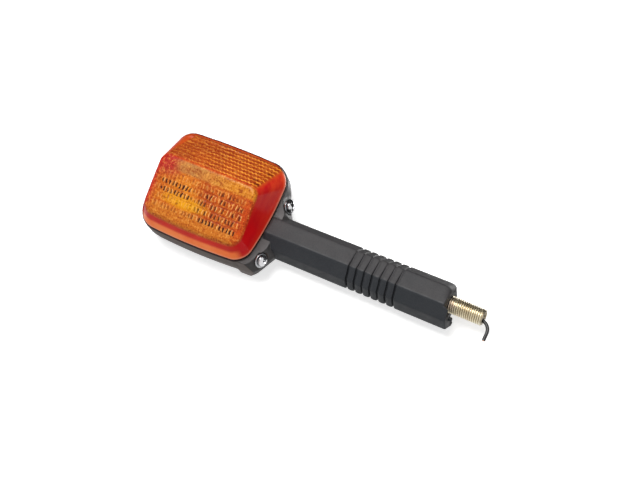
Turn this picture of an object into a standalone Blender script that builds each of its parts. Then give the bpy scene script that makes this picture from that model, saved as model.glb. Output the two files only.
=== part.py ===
"""Turn signal indicator for a motorcycle: amber lens, housing, flexible stem and hollow stud.

Metres, +Z up.  X runs along the stem towards the mounting stud, the lens faces -Y, and the
origin is the centre of the stem's mounting face.
"""

import math

import bmesh
import bpy
from mathutils import Matrix, Vector

# ---------------------------------------------------------------- driving dimensions
MM = 0.001
GAP = 0.3 * MM                       # assembly clearance between neighbouring pieces

# Lamp head, seen from the front: outline of the lens lip.
LIP_X = (-190.8 * MM, -117.2 * MM)
LIP_Z = (-25.2 * MM, 36.9 * MM)
# Corner radii: top stem side, top end, bottom end, bottom stem side.
LIP_RADII = (12.0 * MM, 8.5 * MM, 12.0 * MM, 8.5 * MM)
# How far each side swells outwards: stem side, top, end, bottom.
LIP_BOWS = (2.4 * MM, 1.3 * MM, 0.5 * MM, 1.7 * MM)
FACE_BOWS = (0.3 * MM, 0.5 * MM, 0.3 * MM, 1.7 * MM)
LIP_Y = -11.0 * MM                   # plane of the lens lip
ARC_STEPS = 6                        # points round a corner of the outline
SIDE_STEPS = 4                       # and along a side

# Lens: a box with a drafted skirt, a leaning front face and a 45 degree upper face.
LENS_DEPTH_LOW = 14.0 * MM
LENS_DEPTH_HIGH = 25.1 * MM
LENS_END_DRAFT = 7.0 * MM
LENS_STEM_DRAFT = 2.8 * MM
LENS_LOW_DRAFT = 4.5 * MM
LENS_TOP_SET_BACK = 25.2 * MM
LENS_FACE_RADIUS = 5.4 * MM
LENS_EDGE_ROUND = 2.2 * MM
LENS_WALL = 2.2 * MM
TONGUE_OFFSET = 2.5 * MM
TONGUE_WALL = 1.4 * MM
TONGUE_Y = -7.0 * MM

# Housing shell.
HOUSING_RIM_Y = -9.3 * MM
HOUSING_BACK_Y = 11.0 * MM
HOUSING_WALL = 2.2 * MM
HOUSING_BACK_ROUND = 6.0 * MM
COLLAR_START_X = LIP_X[1] + LIP_BOWS[0] + GAP

# Stem: an eight-sided rubber bar with seven grooves round its middle.
STEM_FACETS = (12, 58, 104, 150, 192, 238, 284, 318)   # outward directions, degrees up from -Y
STEM_FACET_REACH = 11.75 * MM
STEM_SHARPNESS = 26
STEM_TAPER = 0.04
STEM_SIDES = 32
HEAD_END_X = -105.5 * MM             # where the stem meets the housing collar
GROOVE_MID_X = -44.4 * MM
GROOVE_PITCH = 4.9 * MM
GROOVE_WIDTH = 1.9 * MM
GROOVE_DEPTH = 1.7 * MM
STEM_BORE = 4.0 * MM

# Hollow M10 x 1.25 stud, set a little above the middle of the stem.
STUD_Z = 1.5 * MM
STUD_LENGTH = 20.5 * MM
STUD_RADIUS = 5.0 * MM
STUD_ROOT = 4.35 * MM
STUD_PITCH = 1.25 * MM
STUD_BORE = 2.9 * MM
LEDGE = 2.8 * MM                     # how far the mounting face stands forward below the stud
LEDGE_TOP_Z = -4.2 * MM
LEDGE_BLEND = 1.0 * MM
NUB_Z = -6.6 * MM                    # locating peg on the ledge
NUB_RADIUS = 1.4 * MM
NUB_END_X = 4.5 * MM
STUD_PLATE_X = (-13.7 * MM, -10.3 * MM)
STUD_PLATE_RADIUS = 9.0 * MM

# Steel core of the stem: a tube welded to a plate that lies inside the housing.
CORE_RADIUS = 5.0 * MM
CORE_BORE = 3.6 * MM
CORE_X = (-121.5 * MM, -64.0 * MM)
PLATE_X = (-120.4 * MM, -119.0 * MM)
NECK_RADIUS = 8.0 * MM
NECK_END_X = -116.0 * MM

# The two slanting screws in the shoulders of the housing.
SEAT = Vector((-111.2 * MM, -5.0 * MM, 18.0 * MM))
SCREW_TILT = math.radians(21)        # leans towards the lens side
SCREW_FAN = math.radians(10)         # upper one leans up, lower one leans down
SCREW_HEAD_RADIUS = 3.3 * MM
SCREW_SHANK = 1.9 * MM
SCREW_LENGTH = 15.2 * MM
WASHER_RADIUS = 4.4 * MM
WASHER_HOLE = 2.3 * MM
WASHER_THICK = 0.9 * MM
RECESS_RADIUS = 5.0 * MM
SCREW_HOLE = 2.3 * MM
PAD_FRONT = -10.1 * MM               # front of the steel pad behind a screw, along its axis

# Bulb and its bayonet socket, lying along X in the middle of the head.
LAMP_Y = -9.0 * MM
LAMP_Z = 7.55 * MM
SOCKET_X = (-148.0 * MM, -127.9 * MM)
SOCKET_RADIUS = 8.5 * MM
SOCKET_BORE = 7.9 * MM
PIN_X = -145.0 * MM
PIN_RADIUS = 1.0 * MM
CONTACT_TRAVEL = 1.5 * MM
BAYONET_TURN = 24                    # degrees from the locked place to the way out
BULB_BASE_X = (-155.0 * MM, -138.2 * MM)
BULB_BASE_RADIUS = 7.5 * MM
GLASS_RADIUS = 9.4 * MM
GLASS_MID_X = -163.0 * MM

WIRE_RADIUS = 1.0 * MM
TAIL_TURN_X = STUD_LENGTH + 4.8 * MM   # where the wire outside the stud hangs down
TAIL_END_Z = -10.7 * MM
ALONG_X = (0, math.radians(90), 0)   # turns a piece's own Z axis to the world's X axis
ALONG_BACK = (math.radians(-90), 0, 0)   # turns it to +Y

# ---------------------------------------------------------------- scene and materials
for old in list(bpy.data.objects):
    bpy.data.objects.remove(old)

parts = bpy.data.collections.new("turn_signal")
cutters = bpy.data.collections.new("cutters")
bpy.context.scene.collection.children.link(parts)
bpy.context.scene.collection.children.link(cutters)


def material(name, colour, roughness, metallic=0.0):
    finish = bpy.data.materials.new(name)
    finish.use_nodes = True
    shader = finish.node_tree.nodes["Principled BSDF"]
    shader.inputs["Base Color"].default_value = (*colour, 1.0)
    shader.inputs["Roughness"].default_value = roughness
    shader.inputs["Metallic"].default_value = metallic
    return finish


AMBER = (0.78, 0.14, 0.01)
CHARCOAL = (0.035, 0.034, 0.036)
BLACK = (0.012, 0.012, 0.012)
STEEL = (0.55, 0.55, 0.56)
CHROME = (0.75, 0.75, 0.76)
ZINC = (0.62, 0.47, 0.18)
BRASS = (0.70, 0.52, 0.20)
WHITE = (0.80, 0.79, 0.75)
GLASS = (0.85, 0.88, 0.88)


# ---------------------------------------------------------------- building helpers
def add(name, mesh, colour, roughness, metallic=0.0, smooth=False):
    thing = bpy.data.objects.new(name, mesh)
    parts.objects.link(thing)
    mesh.materials.clear()
    mesh.materials.append(material(name, colour, roughness, metallic))
    if smooth:
        mesh.shade_smooth()
    return thing


def cutter(name, mesh):
    thing = bpy.data.objects.new(name, mesh)
    cutters.objects.link(thing)
    thing.hide_render = True
    thing.display_type = "WIRE"
    return thing


def combine(thing, other, operation):
    step = thing.modifiers.new(other.name, "BOOLEAN")
    step.object = other
    step.operation = operation
    step.solver = "EXACT"


def loft(name, loops, ring=False):
    """Join equal loops of points: closed by a flat cap at both ends, or end to start as a ring."""
    bm = bmesh.new()
    rows = [[bm.verts.new(point) for point in loop] for loop in loops]
    pairs = list(zip(rows, rows[1:]))
    if ring:
        pairs.append((rows[-1], rows[0]))
    for one, two in pairs:
        for k in range(len(one)):
            j = (k + 1) % len(one)
            bm.faces.new((one[k], one[j], two[j], two[k]))
    if not ring:
        bm.faces.new(rows[0])
        bm.faces.new(rows[-1])
    bmesh.ops.recalc_face_normals(bm, faces=bm.faces)
    mesh = bpy.data.meshes.new(name)
    bm.to_mesh(mesh)
    bm.free()
    return mesh


def box(name, low, high):
    bm = bmesh.new()
    bmesh.ops.create_cube(bm, size=1)
    size = [b - a for a, b in zip(low, high)]
    middle = [(a + b) / 2 for a, b in zip(low, high)]
    bmesh.ops.scale(bm, vec=size, verts=bm.verts)
    bmesh.ops.translate(bm, vec=middle, verts=bm.verts)
    mesh = bpy.data.meshes.new(name)
    bm.to_mesh(mesh)
    bm.free()
    return mesh


def rod(name, radius, bottom, top, sides=32, tip_radius=None):
    """A cylinder or cone from z = bottom to z = top on its own Z axis."""
    bm = bmesh.new()
    bmesh.ops.create_cone(bm, cap_ends=True, segments=sides, radius1=radius,
                          radius2=radius if tip_radius is None else tip_radius, depth=top - bottom)
    bmesh.ops.translate(bm, vec=(0, 0, (bottom + top) / 2), verts=bm.verts)
    mesh = bpy.data.meshes.new(name)
    bm.to_mesh(mesh)
    bm.free()
    return mesh


def turned(name, profile, finish, closed=True, steps=32):
    """Spin (radius, height) points round Z; closed profiles give rings and tubes."""
    mesh = bpy.data.meshes.new(name)
    links = [(k, k + 1) for k in range(len(profile) - 1)]
    if closed:
        links.append((len(profile) - 1, 0))
    mesh.from_pydata([(r, 0, h) for r, h in profile], links, [])
    thing = add(name, mesh, *finish)
    spin = thing.modifiers.new("spin", "SCREW")
    spin.steps = steps
    spin.render_steps = steps
    spin.use_merge_vertices = True
    spin.merge_threshold = 0.00001
    spin.use_smooth_shade = True
    return thing


def wire(name, points, radius, finish, sides=2):
    """A round wire through the points, as a poly curve with filled ends."""
    curve = bpy.data.curves.new(name, "CURVE")
    curve.dimensions = "3D"
    curve.bevel_depth = radius
    curve.bevel_resolution = sides
    curve.use_fill_caps = True
    line = curve.splines.new("POLY")
    line.points.add(len(points) - 1)
    for slot, point in zip(line.points, points):
        slot.co = (*point, 1.0)
    curve.materials.append(material(name, *finish))
    thing = bpy.data.objects.new(name, curve)
    parts.objects.link(thing)
    return thing


def rounded_path(corners, radius, steps=5):
    """The corner points, with each inner corner replaced by a smooth bend."""
    path = [Vector(corners[0])]
    for before, corner, after in zip(corners, corners[1:], corners[2:]):
        before, corner, after = Vector(before), Vector(corner), Vector(after)
        back = (before - corner).normalized() * min(radius, (before - corner).length / 2)
        ahead = (after - corner).normalized() * min(radius, (after - corner).length / 2)
        for k in range(steps + 1):
            t = k / steps
            path.append(corner + back * (1 - t) ** 2 + ahead * t ** 2)
    path.append(Vector(corners[-1]))
    return path


# ---------------------------------------------------------------- outline of the head
def outline(offset, y, radii=LIP_RADII, span_x=LIP_X, span_z=LIP_Z, bows=LIP_BOWS):
    """Rounded rectangle with swelling sides, moved inwards by offset, at depth y."""
    x0, x1 = span_x[0] + offset, span_x[1] - offset
    z0, z1 = span_z[0] + offset, span_z[1] - offset
    middle_x, middle_z = (x0 + x1) / 2, (z0 + z1) / 2
    arcs = []
    for n, (cx, cz) in enumerate(((x1, z1), (x0, z1), (x0, z0), (x1, z0))):
        radius = max(radii[n] - offset, 0.8 * MM)
        cx -= math.copysign(radius, cx - middle_x)
        cz -= math.copysign(radius, cz - middle_z)
        angles = [math.radians(90 * n + 90 * k / ARC_STEPS) for k in range(ARC_STEPS + 1)]
        arcs.append([(cx + radius * math.cos(a), cz + radius * math.sin(a)) for a in angles])
    flat = []
    for n, arc in enumerate(arcs):
        (x, z), (to_x, to_z) = arc[-1], arcs[(n + 1) % 4][0]
        shares = [k / SIDE_STEPS for k in range(1, SIDE_STEPS)]
        flat += arc + [(x + (to_x - x) * t, z + (to_z - z) * t) for t in shares]
    loop = []
    for x, z in flat:
        across = (x - middle_x) / (x1 - middle_x)
        up = (z - middle_z) / (z1 - middle_z)
        side_bow = bows[0] if across > 0 else bows[2]
        level_bow = bows[1] if up > 0 else bows[3]
        loop.append(Vector((x + side_bow * across * (1 - up * up), y,
                            z + level_bow * up * (1 - across * across))))
    return loop


def front_face(offset, shift):
    """The lens's leaning front face, moved inwards by offset and back by shift."""
    span_x = (LIP_X[0] + LENS_END_DRAFT, LIP_X[1] - LENS_STEM_DRAFT)
    span_z = (LIP_Z[0] + LENS_LOW_DRAFT, LIP_Z[1] - LENS_TOP_SET_BACK)
    lean = (LENS_DEPTH_HIGH - LENS_DEPTH_LOW) / (span_z[1] - span_z[0])
    loop = outline(offset, 0, (LENS_FACE_RADIUS,) * 4, span_x, span_z, FACE_BOWS)
    for point in loop:
        point.y = LIP_Y - LENS_DEPTH_LOW - lean * (point.z - span_z[0]) + shift
    return loop


def lens_skin(inset, lip_offset, lip_y):
    """Loops from the front face, round its edge and down the sides to the lip."""
    face = front_face(inset, inset)
    flat = front_face(inset + LENS_EDGE_ROUND, inset)
    lip = outline(lip_offset, lip_y)
    turn = [f.lerp(s, LENS_EDGE_ROUND / (s - f).length) for f, s in zip(face, lip)]
    skin = [flat]
    for t in (0.25, 0.5, 0.75):
        skin.append([a * (1 - t) ** 2 + b * 2 * t * (1 - t) + c * t * t
                     for a, b, c in zip(flat, face, turn)])
    skin.append(turn)
    skin.append(lip)
    return skin


def make_lens():
    outer = lens_skin(0, 0, LIP_Y)
    inner = lens_skin(LENS_WALL, LENS_WALL + 0.2 * MM, LIP_Y - 3.5 * MM)
    inside = TONGUE_OFFSET + TONGUE_WALL
    rim = [outline(TONGUE_OFFSET, LIP_Y), outline(TONGUE_OFFSET, TONGUE_Y),
           outline(inside, TONGUE_Y), outline(inside, LIP_Y - 1.5 * MM)]
    mesh = loft("lens", outer + rim + inner[::-1])
    return add("lens", mesh, AMBER, 0.08)


def make_gasket():
    low, high = LIP_Y + GAP, HOUSING_RIM_Y - GAP
    loops = [outline(0.5 * MM, low), outline(1.9 * MM, low), outline(1.9 * MM, high),
             outline(0.5 * MM, high)]
    return add("lens_gasket", loft("lens_gasket", loops, ring=True), BLACK, 0.7)


# ---------------------------------------------------------------- housing
def housing_shell():
    back, depth = HOUSING_BACK_ROUND, HOUSING_BACK_Y - HOUSING_BACK_ROUND
    outer = [outline(0, HOUSING_RIM_Y), outline(0.4 * MM, depth)]
    for angle in (30, 60, 90):
        turn = math.radians(angle)
        outer.append(outline(0.4 * MM + back * (1 - math.cos(turn)), depth + back * math.sin(turn)))
    wall = HOUSING_WALL
    inner = [outline(wall, HOUSING_RIM_Y), outline(wall + 0.4 * MM, depth),
             outline(wall + 2.5 * MM, HOUSING_BACK_Y - wall)]
    return loft("housing", outer[::-1] + inner)


def shoulder_block():
    """The wedge on the stem side that carries both screw seats."""
    crest = ((-125, -25.6), (-113.6, -25.4), (-111.4, -23.3), (-105.8, -11.5),
             (-105.8, 11.5), (-110.5, 18.3), (-117, 28.5), (-125, 34.0))
    levels = ((HOUSING_RIM_Y, -3.4), (-0.5 * MM, 0), (4.3 * MM, -0.9), (HOUSING_BACK_Y - 0.6 * MM, -4.5))
    loops = []
    for y, back_off in levels:
        loops.append([Vector(((x + (back_off if x > -124 else 0)) * MM, y, z * MM)) for x, z in crest])
    return loft("shoulder", loops)


def stem_ring(x, depth=0.0):
    """Points of the eight-sided stem section at x, cut in by depth."""
    size = 1 + STEM_TAPER * (0.5 - x / HEAD_END_X)
    loop = []
    for k in range(STEM_SIDES):
        angle = 2 * math.pi * k / STEM_SIDES
        push = 0.0
        for facet in STEM_FACETS:
            push += max(math.cos(angle - math.radians(facet)), 0) ** STEM_SHARPNESS
        radius = size * STEM_FACET_REACH / push ** (1 / STEM_SHARPNESS) - depth
        loop.append(Vector((x, -radius * math.cos(angle), radius * math.sin(angle))))
    return loop


def round_ring(x, radius, z=0.0):
    """A circle at x with as many points as a stem section."""
    loop = []
    for k in range(STEM_SIDES):
        angle = 2 * math.pi * k / STEM_SIDES
        loop.append(Vector((x, -radius * math.cos(angle), z + radius * math.sin(angle))))
    return loop


def screw_frame(sign):
    """Matrix whose Z axis points out of a screw seat; sign +1 is the upper screw."""
    out = Vector((math.cos(SCREW_TILT) * math.cos(SCREW_FAN), -math.sin(SCREW_TILT),
                  sign * math.cos(SCREW_TILT) * math.sin(SCREW_FAN)))
    turn = out.to_track_quat("Z", "Y").to_matrix().to_4x4()
    place = Vector((SEAT.x, SEAT.y, sign * SEAT.z))
    return Matrix.Translation(place) @ turn


def make_housing():
    housing = add("housing", housing_shell(), CHARCOAL, 0.5)
    combine(housing, cutter("shoulder", shoulder_block()), "UNION")
    collar = loft("collar", [stem_ring(COLLAR_START_X), stem_ring(HEAD_END_X - GAP)])
    combine(housing, cutter("collar", collar), "UNION")
    skin = HOUSING_WALL + 0.1 * MM
    inside = loft("inside", [outline(skin, HOUSING_RIM_Y - 1 * MM),
                             outline(skin + 0.4 * MM, HOUSING_BACK_Y - HOUSING_BACK_ROUND),
                             outline(skin + 2.5 * MM, HOUSING_BACK_Y - skin)])
    combine(housing, cutter("inside", inside), "DIFFERENCE")
    boss = cutter("boss", rod("boss", 4 * MM, 0, 3 * MM))
    pilot = cutter("pilot", rod("pilot", 1.5 * MM, -1 * MM, 2.4 * MM, 16))
    for tool, step in ((boss, "UNION"), (pilot, "DIFFERENCE")):
        tool.location = (BRACKET_SCREW_X, FOOT_Y[1] + GAP, LAMP_Z)
        tool.rotation_euler = ALONG_BACK
        combine(housing, tool, step)
    bore = cutter("stem_bore", rod("stem_bore", NECK_RADIUS + GAP, -126 * MM, -104 * MM, 40))
    bore.rotation_euler = ALONG_X
    combine(housing, bore, "DIFFERENCE")
    for name, sign in (("upper", 1), ("lower", -1)):
        recess = cutter(name + "_recess", rod(name + "_recess", RECESS_RADIUS, 0, 12 * MM))
        hole = cutter(name + "_hole", rod(name + "_hole", SCREW_HOLE, -16 * MM, 1 * MM, 16))
        pocket = cutter(name + "_pocket", rod(name + "_pocket", 4.5 * MM, -17 * MM, PAD_FRONT + 0.5 * MM))
        for tool in (recess, hole, pocket):
            tool.matrix_world = screw_frame(sign)
            combine(housing, tool, "DIFFERENCE")
    return housing


# ---------------------------------------------------------------- reflector, bulb, socket
BRACKET_X = (SOCKET_X[1] + GAP, SOCKET_X[1] + GAP + 1.5 * MM)
FOOT_Y = (5.4 * MM, 6.9 * MM)
FOOT_END_X = -143.0 * MM
BRACKET_HALF = 4.5 * MM
BRACKET_SCREW_X = -137.0 * MM
REFLECTOR_WALL = 1.2 * MM


def make_reflector():
    def bowl(lift, spread):
        return [outline(6.2 * MM + spread, -6 * MM),
                outline(8.5 * MM + spread, 1.5 * MM - lift * 0.6),
                outline(14 * MM + spread * 0.6, 6 * MM - lift)]
    outer, inner = bowl(0, 0), bowl(REFLECTOR_WALL, REFLECTOR_WALL)
    reflector = add("reflector", loft("reflector", outer[::-1] + inner), CHROME, 0.12, 0.9)
    middle = LAMP_Z
    notch = cutter("bracket_notch", box("bracket_notch",
                   (FOOT_END_X - 1.5 * MM, -8 * MM, middle - BRACKET_HALF - 1 * MM),
                   (-118 * MM, 8 * MM, middle + BRACKET_HALF + 1 * MM)))
    combine(reflector, notch, "DIFFERENCE")
    wire_notch = cutter("wire_notch", box("wire_notch", (-129 * MM, -8 * MM, -5.5 * MM),
                                          (-118 * MM, 8 * MM, middle)))
    combine(reflector, wire_notch, "DIFFERENCE")
    for name, sign in (("upper", 1), ("lower", -1)):
        nut_notch = cutter(name + "_nut_notch", box(name + "_nut_notch",
                           (-131 * MM, -8 * MM, sign * 16 * MM - 6.5 * MM),
                           (-118 * MM, 8 * MM, sign * 16 * MM + 6.5 * MM)))
        combine(reflector, nut_notch, "DIFFERENCE")
    return reflector


def lamp_axis(name):
    empty = bpy.data.objects.new(name, None)
    parts.objects.link(empty)
    empty.location = (0, LAMP_Y, LAMP_Z)
    empty.rotation_euler = ALONG_X
    return empty


def make_socket(axis):
    open_end, back = SOCKET_X
    profile = [(SOCKET_RADIUS, back), (SOCKET_RADIUS, open_end), (SOCKET_BORE, open_end),
               (SOCKET_BORE, back - 0.7 * MM), (4.5 * MM, back - 0.7 * MM), (4.5 * MM, back)]
    socket = turned("bulb_socket", profile, (BRASS, 0.35, 0.9), steps=36)
    socket.parent = axis
    half = PIN_RADIUS + GAP
    reach = SOCKET_RADIUS + 1 * MM
    slots = [(BAYONET_TURN, open_end - 1 * MM)]
    slots += [(angle, PIN_X - half) for angle in range(0, BAYONET_TURN + 1, 8)]
    for n, (angle, start) in enumerate(slots):
        slot = cutter(f"slot_{n}", box(f"slot_{n}", (-reach, -half, start),
                                       (reach, half, PIN_X + CONTACT_TRAVEL + half)))
        slot.parent = axis
        slot.rotation_euler = (0, 0, math.radians(angle))
        combine(socket, slot, "DIFFERENCE")
    return socket


def make_bracket():
    y_top = LAMP_Y - 5 * MM
    low, high = LAMP_Z - BRACKET_HALF, LAMP_Z + BRACKET_HALF
    bracket = add("socket_bracket", box("socket_bracket", (BRACKET_X[0], y_top, low),
                                        (BRACKET_X[1], FOOT_Y[1], high)), STEEL, 0.4, 0.9)
    foot = cutter("foot", box("foot", (FOOT_END_X, FOOT_Y[0], low),
                              (BRACKET_X[1], FOOT_Y[1], high)))
    combine(bracket, foot, "UNION")
    wire_way = cutter("wire_way", rod("wire_way", 3 * MM, -140 * MM, -120 * MM, 24))
    wire_way.location = (0, LAMP_Y, LAMP_Z)
    wire_way.rotation_euler = ALONG_X
    combine(bracket, wire_way, "DIFFERENCE")
    hole = cutter("foot_hole", rod("foot_hole", 1.6 * MM, -2 * MM, 4 * MM, 20))
    hole.location = (BRACKET_SCREW_X, FOOT_Y[0], LAMP_Z)
    hole.rotation_euler = ALONG_BACK
    combine(bracket, hole, "DIFFERENCE")
    return bracket


def make_bracket_screw():
    profile = [(0, 3.4 * MM), (1.2 * MM, 3.2 * MM), (1.2 * MM, 0), (2.6 * MM, 0),
               (2.6 * MM, -0.9 * MM), (1.8 * MM, -1.6 * MM), (0, -1.8 * MM)]
    screw = turned("bracket_screw", profile, (STEEL, 0.35, 0.9), closed=False, steps=20)
    screw.location = (BRACKET_SCREW_X, FOOT_Y[0] - GAP, LAMP_Z)
    screw.rotation_euler = ALONG_BACK
    return screw


def make_contact(axis):
    disc_back = -132.1 * MM
    disc = turned("contact_disc", [(7.4 * MM, disc_back), (7.4 * MM, disc_back - 1.5 * MM),
                                   (1.3 * MM, disc_back - 1.5 * MM), (1.3 * MM, disc_back)],
                  (WHITE, 0.6), steps=28)
    tip = turned("contact_tip", [(0, -131.4 * MM), (1 * MM, -131.4 * MM), (1 * MM, -133.9 * MM),
                                 (1.9 * MM, -133.9 * MM), (1.9 * MM, -134.5 * MM), (0, -134.7 * MM)],
                 (BRASS, 0.3, 0.9), closed=False, steps=20)
    for piece in (disc, tip):
        piece.parent = axis
    return disc, tip


def make_contact_spring(axis):
    start, end = -131.4 * MM, -129.1 * MM
    turns, around = 2.5, 14
    points = []
    for k in range(int(turns * around) + 1):
        angle = 2 * math.pi * k / around
        height = start + (end - start) * k / (turns * around)
        points.append((5.6 * MM * math.cos(angle), 5.6 * MM * math.sin(angle), height))
    spring = wire("contact_spring", points, 0.3 * MM, (STEEL, 0.3, 0.9), sides=1)
    spring.parent = axis
    return spring


def make_bulb(axis):
    top, bottom = BULB_BASE_X
    wall = 0.5 * MM
    r = BULB_BASE_RADIUS
    base = turned("bulb_base", [(3.2 * MM, bottom), (r - 1 * MM, bottom), (r, bottom - 1 * MM), (r, top),
                                (r - wall, top), (r - wall, bottom - 1 * MM),
                                (r - 1.2 * MM, bottom - wall), (3.2 * MM, bottom - wall)],
                  (BRASS, 0.3, 0.9), steps=32)
    for n, side in enumerate((1, -1)):
        pin = cutter(f"pin_{n}", rod(f"pin_{n}", PIN_RADIUS, r - 0.3 * MM, SOCKET_RADIUS + 0.2 * MM, 16))
        pin.parent = axis
        pin.location = (0, 0, PIN_X)
        pin.rotation_euler = (0, math.radians(90 * side), 0)
        combine(base, pin, "UNION")
    contact = turned("bulb_contact", [(0, -135 * MM), (1.3 * MM, -135.2 * MM), (2.9 * MM, -137.4 * MM),
                                      (2.9 * MM, -139.6 * MM), (0, -139.6 * MM)],
                     (BLACK, 0.2), closed=False, steps=20)
    glass = turned("bulb_glass", glass_profile(), (GLASS, 0.03), closed=False, steps=24)
    pieces = [base, contact, glass, make_filament()]
    for piece in pieces:
        piece.parent = axis
    return pieces


def glass_profile():
    """Thin envelope, open where it enters the base: up the inside, then down the outside."""
    neck, wall, mid = 6.4 * MM, 0.6 * MM, GLASS_MID_X
    start = math.asin(neck / GLASS_RADIUS)
    outer, inner = [(neck, -151.5 * MM)], [(neck - wall, -151.5 * MM)]
    for k in range(9):
        angle = start + (math.pi - start) * k / 8
        across, along = math.sin(angle), math.cos(angle)
        outer.append((GLASS_RADIUS * across, mid + GLASS_RADIUS * along))
        inner.append(((GLASS_RADIUS - wall) * across, mid + (GLASS_RADIUS - wall) * along))
    outer[-1] = (0, outer[-1][1])
    inner[-1] = (0, inner[-1][1])
    return inner[::-1] + outer


def make_filament():
    """Glass stem pinch is left out: two supports carry one filament as a single bent wire."""
    lift, half = -159.5 * MM, 3.2 * MM
    points = [(half * 0.5, 0, -150 * MM), (half * 0.5, 0, -153 * MM), (half, 0, lift)]
    for k in range(1, 12):
        swing = 0.35 * MM * (1 if k % 2 else -1)
        points.append((half - 2 * half * k / 12, 0, lift - swing))
    points += [(-half, 0, lift), (-half * 0.5, 0, -153 * MM), (-half * 0.5, 0, -150 * MM)]
    return wire("bulb_filament", points, 0.2 * MM, (STEEL, 0.4, 0.9), sides=1)


# ---------------------------------------------------------------- stem
def groove_x(number):
    return GROOVE_MID_X + (number - 3) * GROOVE_PITCH


def grooved(start, end, numbers):
    """Outer loops from start to end, with the numbered grooves cut in; half ones at the ends."""
    half, slope = GROOVE_WIDTH / 2, 0.35 * MM
    marks = []
    for number in numbers:
        x = groove_x(number)
        marks += [(x - half - slope, 0), (x - half + slope, GROOVE_DEPTH),
                  (x + half - slope, GROOVE_DEPTH), (x + half + slope, 0)]
    inside = [(x, d) for x, d in marks if start < x < end]
    first = inside[0][1] if inside and abs(start - groove_x(numbers[0])) < 1 * MM else 0
    last = inside[-1][1] if inside and abs(end - groove_x(numbers[-1])) < 1 * MM else 0
    return [stem_ring(x, d) for x, d in [(start, first)] + inside + [(end, last)]]


def make_stem():
    """Five lengths of the rubber stem, parted at the bottoms of four grooves."""
    cuts = [groove_x(n) for n in (0, 2, 4, 6)]
    finish = (CHARCOAL, 0.6)
    clear = GAP / 2
    head = grooved(HEAD_END_X, cuts[0] - clear, (0,))
    core = CORE_RADIUS + GAP
    neck = [round_ring(HEAD_END_X, NECK_RADIUS), round_ring(NECK_END_X, NECK_RADIUS),
            round_ring(NECK_END_X, core), round_ring(CORE_X[1] + GAP, core),
            round_ring(CORE_X[1] + GAP, STEM_BORE)]
    loops = neck[::-1] + head + [round_ring(cuts[0] - clear, STEM_BORE)]
    add("stem_head", loft("stem_head", loops, ring=True), *finish)
    flexes = (("flex_front", 0, 1, (0, 1, 2)), ("flex_middle", 1, 2, (2, 3, 4)),
              ("flex_rear", 2, 3, (4, 5, 6)))
    for name, first, last, numbers in flexes:
        start, end = cuts[first] + clear, cuts[last] - clear
        loops = grooved(start, end, numbers)
        loops += [round_ring(end, STEM_BORE), round_ring(start, STEM_BORE)]
        add(name, loft(name, loops, ring=True), *finish)
    make_stem_base(cuts[3] + clear, finish)


def ledged(loop):
    """Move the points below the stud forwards, where the mounting face stands out as a ledge."""
    for point in loop:
        point.x += LEDGE * min(max((LEDGE_TOP_Z - point.z) / LEDGE_BLEND, 0), 1)
    return loop


def end_ring(x, depth, top_depth):
    """Stem section near the mounting face, cut in further along its top."""
    pairs = zip(stem_ring(x, depth), stem_ring(x, top_depth))
    return ledged([low.lerp(high, min(max(low.z / (8 * MM), 0), 1)) for low, high in pairs])


def make_stem_base(start, finish):
    outer = grooved(start, -4 * MM, (6,))
    outer += [end_ring(-2.4 * MM, 0, 0.5 * MM), end_ring(-0.8 * MM, 0, 1.6 * MM),
              end_ring(0, 0.8 * MM, 3.4 * MM)]
    plate = (STUD_PLATE_X[0] - GAP, STUD_PLATE_X[1] + GAP)
    rim = ledged(round_ring(0, STUD_RADIUS + 1.5 * MM, STUD_Z))
    inner = [rim, round_ring(0, STUD_RADIUS + 1.0 * MM, STUD_Z),
             round_ring(0, STUD_RADIUS + GAP, STUD_Z), round_ring(plate[1], STUD_RADIUS + GAP, STUD_Z),
             round_ring(plate[1], STUD_PLATE_RADIUS + GAP, STUD_Z),
             round_ring(plate[0], STUD_PLATE_RADIUS + GAP, STUD_Z),
             round_ring(plate[0], STEM_BORE, 0.5 * STUD_Z), round_ring(start, STEM_BORE)]
    base = add("stem_base", loft("stem_base", outer + inner, ring=True), *finish)
    nub = cutter("nub", rod("nub", NUB_RADIUS, -1 * MM, NUB_END_X, 20, NUB_RADIUS - 0.3 * MM))
    nub.location = (0, 0, NUB_Z)
    nub.rotation_euler = ALONG_X
    combine(base, nub, "UNION")
    return base


def make_stud():
    profile = [(STUD_BORE, STUD_PLATE_X[0]), (STUD_PLATE_RADIUS, STUD_PLATE_X[0]),
               (STUD_PLATE_RADIUS, STUD_PLATE_X[1]), (STUD_ROOT, STUD_PLATE_X[1])]
    x = 0.0
    while x < STUD_LENGTH - 1.2 * STUD_PITCH:
        profile += [(STUD_ROOT, x + 0.1 * STUD_PITCH), (STUD_RADIUS, x + 0.5 * STUD_PITCH),
                    (STUD_RADIUS, x + 0.65 * STUD_PITCH)]
        x += STUD_PITCH
    profile += [(STUD_ROOT, x), (STUD_ROOT, STUD_LENGTH - 0.3 * MM),
                (STUD_ROOT - 0.4 * MM, STUD_LENGTH), (STUD_BORE, STUD_LENGTH)]
    stud = turned("stud", profile[::-1], (ZINC, 0.35, 0.9), steps=20)
    stud.location = (0, 0, STUD_Z)
    stud.rotation_euler = ALONG_X
    return stud


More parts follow.
